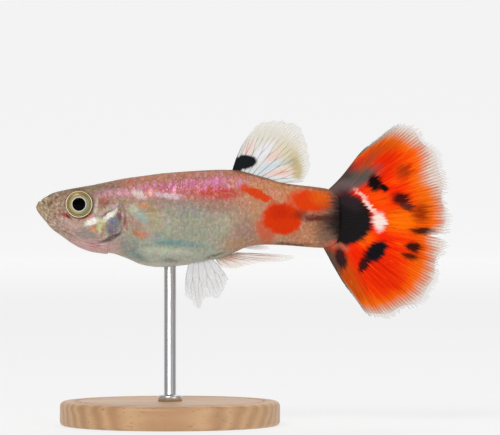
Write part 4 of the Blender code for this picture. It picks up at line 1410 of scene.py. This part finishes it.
# %% Marks of the gonopodium, in the same form
GONOPODIUM_MARKS = {
    "tan root": ((19.2, -4.2), (1.5, 0.5), 10, 0.7, (212, 170, 146), 0.9, 0.8),
    "sand middle": ((22.6, -4.1), (2.2, 0.3), -2, 0.7, (232, 216, 206), 0.8, 0.6),
    "sand below": ((20.2, -5.1), (1.4, 0.3), 4, 0.7, (230, 210, 196), 0.8, 0.6),
}

# %% Soft marks of the tail, then its bold ones
TAIL_GLOW = {
    "brown front low": ((31.4, -6.4), (1.0, 3.2), 28, 0.7, (190, 82, 20), 0.85),
    "gold bottom": ((34.6, -9.2), (3.0, 0.8), -6, 0.8, (232, 104, 12), 0.7),
    "deep upper": ((34.4, 5.0), (2.4, 1.4), 45, 0.7, (228, 38, 3), 0.85),
    "deep lower": ((34.6, -6.0), (2.6, 1.9), -40, 0.7, (228, 34, 3), 0.85),
    "brown top": ((35.8, 7.4), (2.6, 0.7), 26, 0.8, (206, 82, 12), 0.8),
    "gold right": ((39.0, 2.0), (1.1, 2.8), 6, 0.7, (246, 108, 10), 0.85),
    "gold centre": ((36.6, -0.6), (1.9, 1.1), 0, 0.7, (255, 116, 4), 0.9),
    "gold low": ((38.6, -5.0), (1.1, 1.8), -10, 0.8, (240, 96, 6), 0.7),
    "ember low": ((38.4, -3.4), (1.0, 1.0), 0, 0.8, (220, 48, 4), 0.6),
    "ember right": ((38.6, 0.2), (0.9, 0.9), 10, 0.7, (150, 38, 4), 0.9),
    "amber by arc": ((34.3, 1.6), (1.3, 0.9), -45, 0.7, (253, 84, 5), 0.8),
    "amber by crescent": ((33.0, -2.35), (0.9, 0.7), 30, 0.7, (255, 96, 4), 0.9),
}
TAIL_SPOTS = {
    "smoke above": ((31.9, 3.6), (2.3, 0.9), 23, 0.5, (88, 84, 78), 1.0),
    "smoke edge": ((30.5, 3.5), (2.3, 0.5), 48, 0.7, (66, 64, 62), 0.9),
    "smoke rust": ((33.2, 5.3), (1.5, 0.5), 48, 0.7, (150, 78, 44), 0.6),
    "smoke dark": ((30.3, 2.7), (1.8, 0.7), 16, 0.5, (112, 90, 90), 0.95),
    "black crescent": ((30.7, -0.55), (2.95, 2.55), 0, 0.12, (30, 27, 28), 1.0),
    "black crescent top": ((31.3, 1.5), (1.4, 0.8), -40, 0.5, (50, 38, 42), 0.9),
    "white crescent": ((34.35, -0.7), (0.62, 0.92), 6, 0.45, (246, 230, 222), 0.95),
    "white crescent arc": ((33.35, 0.9), (1.1, 0.21), -52, 0.6, (246, 218, 202), 0.95),
    "white thread": ((32.5, 2.1), (0.8, 0.16), -38, 0.6, (236, 190, 172), 0.85),
    "black spot": ((33.85, 3.2), (0.68, 0.86), 0, 0.35, (22, 11, 13), 1.0),
    "black spot tail": ((34.8, 2.75), (0.52, 0.42), -20, 0.4, (24, 11, 12), 1.0),
    "outer spot": ((36.5, 1.6), (1.0, 0.58), -12, 0.5, (34, 16, 13), 0.95),
    "outer spot tail": ((37.2, 0.8), (0.7, 0.36), -20, 0.5, (64, 32, 28), 0.9),
    "faint spot": ((36.75, 4.4), (0.6, 0.7), 10, 0.7, (160, 52, 10), 0.8),
    "ember streak": ((38.7, -1.6), (1.2, 0.38), -2, 0.5, (58, 20, 12), 0.95),
    "lower spot": ((34.0, -3.65), (1.32, 0.84), 36, 0.3, (20, 20, 25), 1.0),
    "lower spot tail": ((32.8, -5.0), (0.5, 0.9), -16, 0.4, (30, 18, 18), 0.95),
    "low spot right": ((37.75, -3.2), (0.72, 0.5), -20, 0.5, (28, 13, 12), 0.95),
    "low spot right two": ((37.4, -4.15), (0.75, 0.34), -22, 0.6, (40, 15, 10), 0.9),
    "front low smoke": ((29.6, -4.5), (1.7, 0.6), -66, 0.6, (92, 78, 64), 0.95),
    "front low rose": ((30.3, -3.15), (0.9, 0.34), -14, 0.6, (190, 104, 80), 0.9),
    "front low spot": ((30.5, -4.3), (0.55, 1.1), 16, 0.4, (28, 28, 34), 0.95),
}
TAIL_CENTRE = (27.0, -0.3)


# %% Finishes of webs and rays
def fan_shares(finish):
    """How far across its fin and how far out a point is, both 0 to 1."""
    return finish.parts(finish.attribute("fan"))[:2]


def streaked(finish, share, reach, count):
    """Fine streaks that run along the rays."""
    across = finish.node("ShaderNodeCombineXYZ", None, {"X": share * count, "Y": reach * 3.0})
    return finish.noise(across, 1.0, 3.0, 0.7)


def clear_finish(name, count, tint, solid, marks=None):
    """A clear web: a milky tint, marks over it, and streaks along the rays."""
    finish = Finish(name, Specular_IOR_Level=0.1, Coat_Weight=0.04, Coat_Roughness=0.2)
    share, reach = fan_shares(finish)
    streak = streaked(finish, share, reach, count)
    place = finish.chart()
    ragged = finish.moved(place, finish.noise(place, 1.6, 3.0, 0.6, "Color"), 0.4)
    colour = finish.mixed(finish.stepped(streak, 0.5, 0.72, 0.3), tint, (206, 196, 186))
    held = finish.stepped(streak, 0.4, 0.7) * 0.14 + solid
    for mark in (marks or {}).values():
        mask, colour = finish.laid(ragged, colour, mark)
        held = held.most(mask * mark[6])
    held = held + finish.stepped(reach, 0.3, 0.0, 0.2) - finish.stepped(reach, 0.6, 1.0, solid * 0.5)
    bump = finish.bump(streak, 0.4, 0.00004)
    finish.feed(Base_Color=colour, Alpha=held, Roughness=0.4 + streak * 0.2, Normal=bump)
    return finish.material


def clear_ray_finish(name, tint, firm, marks=None):
    """The rays of a clear fin: sand-grey rods with darker joints, taking the dark marks they cross."""
    finish = Finish(name, Specular_IOR_Level=0.1, Coat_Weight=0.04, Coat_Roughness=0.2)
    share, reach = fan_shares(finish)
    joints = finish.sine(reach * 190.0)
    colour = finish.mixed(finish.stepped(joints, 0.2, 0.9, 0.3), tint, (140, 118, 98))
    each = streaked(finish, share, reach, 60.0)
    held = each * firm * 1.4 - finish.stepped(reach, 0.4, 1.0, firm * 0.5)
    place = finish.chart()
    for mark in (marks or {}).values():
        if mark[6] == 1.0:
            mask, colour = finish.laid(place, colour, mark)
            held = held.most(mask)
    finish.feed(Base_Color=colour, Alpha=held, Roughness=0.4 + joints * 0.04)
    return finish.material


# %% The tail's finish
def tail_finish(name, hem_solid, hem_end, pale, gloom):
    """The tail's colour, drawn out along its rays, up to the clear hem. Gloom darkens the rays."""
    finish = Finish(name, Specular_IOR_Level=0.02, Coat_Weight=0.01, Coat_Roughness=0.3)
    share, reach = fan_shares(finish)
    streak = streaked(finish, share, reach, 190.0)
    broad = streaked(finish, share + 3.0, reach, 60.0)
    place = finish.chart()
    ragged = finish.moved(place, finish.noise(place, 1.3, 3.0, 0.6, "Color"), 0.5)
    middle = (TAIL_CENTRE[0], 0, TAIL_CENTRE[1])
    longer = (streak - 0.5) * 0.16 + (broad - 0.5) * 0.16 + 1.0
    drawn = finish.vectors("MULTIPLY_ADD", finish.vectors("SUBTRACT", ragged, middle), longer, middle)
    far = reach + (broad - 0.5) * 0.7
    colour = finish.mixed(finish.stepped(far, 0.45, 0.9), (248, 38, 2), (255, 98, 6))
    colour = finish.marked(drawn, colour, TAIL_GLOW)
    colour = finish.mixed(finish.stepped(streak, 0.56, 0.72, 0.4), colour, (255, 140, 30))
    colour = finish.mixed(finish.stepped(streak, 0.46, 0.3, 0.5), colour, (130, 22, 4))
    corners = finish.stepped(share, 0.3, 0.2, 0.045) + finish.stepped(share, 0.84, 0.92, 0.05)
    upper_bay = finish.stepped(share, 0.31, 0.36, 0.06) * finish.stepped(share, 0.42, 0.38)
    cleft_bay = finish.stepped(share, 0.5, 0.53, 0.035) * finish.stepped(share, 0.57, 0.54)
    tongue = finish.stepped(share, 0.43, 0.47, 0.035) * finish.stepped(share, 0.52, 0.49)
    hem_from = reach + (streak - 0.5) * 0.1 + (broad - 0.5) * 0.12
    hem_from = hem_from + corners + upper_bay + cleft_bay - tongue
    colour = finish.mixed(finish.stepped(hem_from, 0.71, 0.85, 0.6), colour, (246, 120, 20))
    colour = finish.marked(drawn, colour, TAIL_SPOTS)
    colour = finish.mixed(finish.stepped(reach, 0.2, 0.9, gloom), colour, (70, 24, 10))
    hem = finish.stepped(hem_from, 0.79, 0.95)
    smoky = finish.stepped(share, 0.16, 0.09).most(finish.stepped(share, 0.87, 0.93))
    colour = finish.mixed(hem, colour, finish.mixed(smoky, pale, (88, 78, 70)))
    held = 1 - hem * (1 - hem_solid) * (1 - smoky * 0.5)
    held = held * finish.stepped(reach, hem_end, hem_end - 0.1)
    bump = finish.bump(streak, 0.5, 0.00005)
    finish.feed(Base_Color=colour, Alpha=held, Roughness=0.5 + streak * 0.2, Normal=bump)
    return finish.material


# %% Every fin's web and rays. A clear web has its count of streaks, tint and how solid it is
FIN_FINISHES = {
    "dorsal_fin": (
        clear_finish("dorsal_web", 80.0, (224, 222, 216), 0.42, DORSAL_MARKS),
        clear_ray_finish("dorsal_rays", (150, 128, 112), 0.7, DORSAL_MARKS),
    ),
    "caudal_fin": (
        tail_finish("tail_web", 0.5, 0.985, (238, 214, 198), 0.0),
        tail_finish("tail_rays", 0.32, 1.05, (196, 176, 164), 0.14),
    ),
    "gonopodium": (
        clear_finish("gonopodium_web", 30.0, (238, 230, 222), 0.42, GONOPODIUM_MARKS),
        clear_ray_finish("gonopodium_rays", (184, 150, 130), 0.6),
    ),
    "pelvic_fin": (
        clear_finish("pelvic_web", 50.0, (228, 228, 230), 0.26),
        clear_ray_finish("pelvic_rays", (200, 192, 188), 0.42),
    ),
    "anal_fin": (
        clear_finish("anal_web", 30.0, (226, 222, 218), 0.3),
        clear_ray_finish("anal_rays", (170, 158, 150), 0.55),
    ),
    "pectoral_fin": (
        clear_finish("pectoral_web", 50.0, (224, 220, 212), 0.05),
        clear_ray_finish("pectoral_rays", (206, 190, 172), 0.22),
    ),
}
RAY_SIDES = 8


# %% Build every fin
def build_fin(node, kind, place):
    fin = FINS[kind]
    web_finish, ray_finish = FIN_FINISHES[kind]
    web = build_web(node + "_web", fin, place)
    web.data.materials.append(web_finish)
    lines = build_ray_lines(node, fin, place)
    rays = rays_from_paths.applied(lines, node + "_rays", {
        "Sides": RAY_SIDES, "Millimetre": MM, "Material": ray_finish,
    })
    bpy.data.objects.remove(lines)
    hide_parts(node)
    for piece in (web, rays):
        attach(piece, "root")
    print(node, "web faces", len(web.data.polygons), "ray faces", len(rays.data.polygons))


for kind in ("dorsal_fin", "caudal_fin", "gonopodium", "anal_fin"):
    build_fin(kind, kind, in_midplane)
for side, word in BOTH_SIDES:
    build_fin(f"pelvic_fin_{word}", "pelvic_fin", pelvic_place(side))
    build_fin(f"pectoral_fin_{word}", "pectoral_fin", pectoral_place(side))

# %% [markdown]
# ## The stand
#
# A swimming fish needs something to hold it. The stand is a turned beech base and one
# steel rod that ends in the belly. Both are turned shapes, so both are a profile spun
# round the rod's axis with a Screw modifier.

# %% Turn the base and the rod
base_low, base_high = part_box("stand_base")
rod_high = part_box("stand_rod")[1]
STAND_X = (base_low.x + base_high.x) / 2
BASE_RADIUS = (base_high.x - base_low.x) / 2
BASE_TOP = base_high.z
TURN_STEPS = 96


def turned(name, profile):
    """A profile of radius and height, in metres, spun round the rod's axis and closed."""
    mesh = bpy.data.meshes.new(name)
    points = [(radius, 0, height) for radius, height in profile]
    mesh.from_pydata(points, [(i, i + 1) for i in range(len(points) - 1)], [])
    raw = in_scene(name + "_profile", mesh)
    spin = raw.modifiers.new("turn", "SCREW")
    spin.steps = spin.render_steps = TURN_STEPS
    spin.use_merge_vertices = True
    spin.merge_threshold = 1e-7
    spin.use_normal_calculate = True
    solid = result_mesh(raw, name)
    bpy.data.objects.remove(raw)
    solid.transform(Matrix.Translation((STAND_X, 0, 0)))
    solid.shade_smooth()
    made = in_scene(name, solid)
    face_out(made)
    return made


def arc(centre, radius, start, end, count=7):
    """Points of a round edge, from one angle to another, in degrees."""
    turns = np.radians(np.linspace(start, end, count))
    return [(centre[0] + radius * math.cos(t), centre[1] + radius * math.sin(t)) for t in turns]


def base_profile():
    """A low disc with a rounded rim, a fine groove near the top edge and a chamfered foot."""
    rim, groove = 0.0005, 0.00018
    edge = BASE_RADIUS
    ring = edge - 0.0016
    return [
        (0.0, BASE_TOP), (ring - 0.0006, BASE_TOP),
        *arc((ring, BASE_TOP), groove, 180, 360, 6),
        *arc((edge - rim, BASE_TOP - rim), rim, 90, 0),
        (edge, 0.00052), *arc((edge - 0.0004, 0.0004), 0.0004, 0, -90, 5), (0.0, 0.0),
    ]


def rod_profile():
    """The rod with its ferrule, down to the wood, from the tip in the belly."""
    rod, ferrule, chamfer, rounding = 0.0006, 0.0012, 0.0001, 0.0002
    tip, foot = rod_high.z, BASE_TOP
    collar = foot + 0.0006
    return [
        (0.0, tip), (rod - chamfer, tip), (rod, tip - chamfer), (rod, collar + chamfer),
        (rod + chamfer, collar), *arc((ferrule - rounding, collar - rounding), rounding, 90, 0, 5),
        (ferrule, foot), (0.0, foot),
    ]


# %% Finishes of wood and steel
def wood_finish():
    """Beech cut along the grain: long rings, short dark flecks and a satin varnish."""
    finish = Finish("beech", Coat_Weight=0.25, Coat_Roughness=0.25)
    place = finish.object_place()
    long = finish.mapped(place, (60, 700, 700), (0.1, 0, 0.06))
    bent = finish.moved(long, finish.noise(long, 0.5, 2.0, 0.5, "Color"), 1.2)
    years = finish.node("ShaderNodeTexWave", {"wave_type": "RINGS", "rings_direction": "X"}, {
        "Vector": bent, "Scale": 0.34, "Distortion": 1.2, "Detail": 2.0, "Detail Scale": 1.4,
    })
    colour = finish.mixed(years * 0.7, (204, 162, 118), (172, 124, 82))
    fleck = finish.noise(finish.mapped(place, (700, 5200, 5200)), 1.0, 2.0, 0.6)
    colour = finish.mixed(finish.stepped(fleck, 0.6, 0.72) * 0.55, colour, (126, 82, 50))
    broad = finish.noise(place, 90.0, 3.0, 0.5)
    colour = finish.mixed(finish.stepped(broad, 0.35, 0.7) * 0.25, colour, (214, 174, 130))
    bump = finish.bump(fleck * 0.6 + years, 0.25, 0.00005)
    finish.feed(Base_Color=colour, Roughness=0.42 + fleck * 0.2, Normal=bump)
    return finish.material


def steel_finish():
    """Steel brushed round the rod: streaks that are far longer round it than along it."""
    finish = Finish("brushed_steel", Metallic=1.0)
    brush = finish.noise(finish.mapped(finish.object_place(), (300, 300, 26000)), 1.0, 3.0, 0.6)
    colour = finish.mixed(brush, (196, 196, 198), (224, 224, 226))
    finish.feed(
        Base_Color=colour, Roughness=0.24 + brush * 0.16, Normal=finish.bump(brush, 0.2, 0.00001)
    )
    return finish.material


for name, node, profile, material, slot in (
    ("stand_base_turned", "stand_base", base_profile(), wood_finish(), "stand_wood"),
    ("stand_rod_turned", "stand_rod", rod_profile(), steel_finish(), "stand_steel"),
):
    piece = turned(name, profile)
    piece.data.materials.append(material)
    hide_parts(node)
    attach(piece, "root")
    print(name, "faces", len(piece.data.polygons))

# %% [markdown]
# ## Floor, light and camera
#
# The photograph is taken level, from the fish's left side, on pale grey. The floor sweeps
# up behind the stand in one smooth curve, so no horizon shows. Two broad soft lights and
# a bright surrounding keep shadows faint. The camera is far enough away to keep the
# proportions of the side view, and frames 50 mm across.

# %% Stage and camera
FRAME_WIDTH = 50.0
CAMERA_DISTANCE = 350.0
SENSOR = 36.0
CAMERA_X = 0.65
CAMERA_Z = 20.75


def build_sweep():
    """A floor that curves up into a backdrop. Its measures are in metres."""
    front, bend_start, bend_radius, top, half = -2.0, 1.4, 0.6, 2.4, 2.4
    profile = [(front, 0.0), (bend_start, 0.0)]
    profile += arc((bend_start, bend_radius), bend_radius, -90, 0, 24)
    profile.append((bend_start + bend_radius, top))
    vertices = [(x, y, z) for y, z in profile for x in (-half, half)]
    faces = [(2 * i, 2 * i + 1, 2 * i + 3, 2 * i + 2) for i in range(len(profile) - 1)]
    made = new_object("floor_sweep", vertices, faces)
    finish = Finish("pale_floor", Roughness=0.9, Specular_IOR_Level=0.1, Emission_Strength=0.71)
    finish.shader.inputs["Emission Color"].default_value = (1.0, 1.0, 1.0, 1.0)
    away = finish.vectors("LENGTH", finish.object_place(), output="Value")
    near = finish.stepped(away, 1.0, 0.1)
    finish.feed(Base_Color=finish.mixed(near, (164, 164, 164), (126, 126, 126)))
    made.data.materials.append(finish.material)


def soft_light(name, place, target, size, power):
    light = bpy.data.lights.new(name, "AREA")
    light.shape = "DISK"
    light.size = size
    light.energy = power
    made = in_scene(name, light)
    made.location = place
    made.rotation_euler = (Vector(target) - Vector(place)).to_track_quat("-Z", "Y").to_euler()


def build_world(strength):
    world = bpy.data.worlds.new("surrounding")
    world.use_nodes = True
    sky = world.node_tree.nodes["Background"]
    sky.inputs["Color"].default_value = (1.0, 1.0, 1.0, 1.0)
    sky.inputs["Strength"].default_value = strength
    bpy.context.scene.world = world


def build_camera():
    lens = bpy.data.cameras.new("camera")
    lens.sensor_width = SENSOR
    lens.lens = SENSOR * CAMERA_DISTANCE / FRAME_WIDTH
    lens.clip_start = 0.01
    lens.clip_end = 10.0
    made = in_scene("camera", lens)
    made.location = (CAMERA_X * MM, -CAMERA_DISTANCE * MM, CAMERA_Z * MM)
    made.rotation_euler = (math.pi / 2, 0, 0)
    bpy.context.scene.camera = made


build_sweep()
build_world(0.35)
FISH_CENTRE = (0.0, 0.0, 0.021)
soft_light("key", (-0.10, -0.26, 0.26), FISH_CENTRE, 0.16, 0.62)
soft_light("fill", (0.22, -0.22, 0.10), FISH_CENTRE, 0.20, 0.17)
soft_light("back", (0.05, 0.20, 0.30), FISH_CENTRE, 0.20, 0.2)
build_camera()
bpy.context.scene.view_settings.view_transform = "Standard"
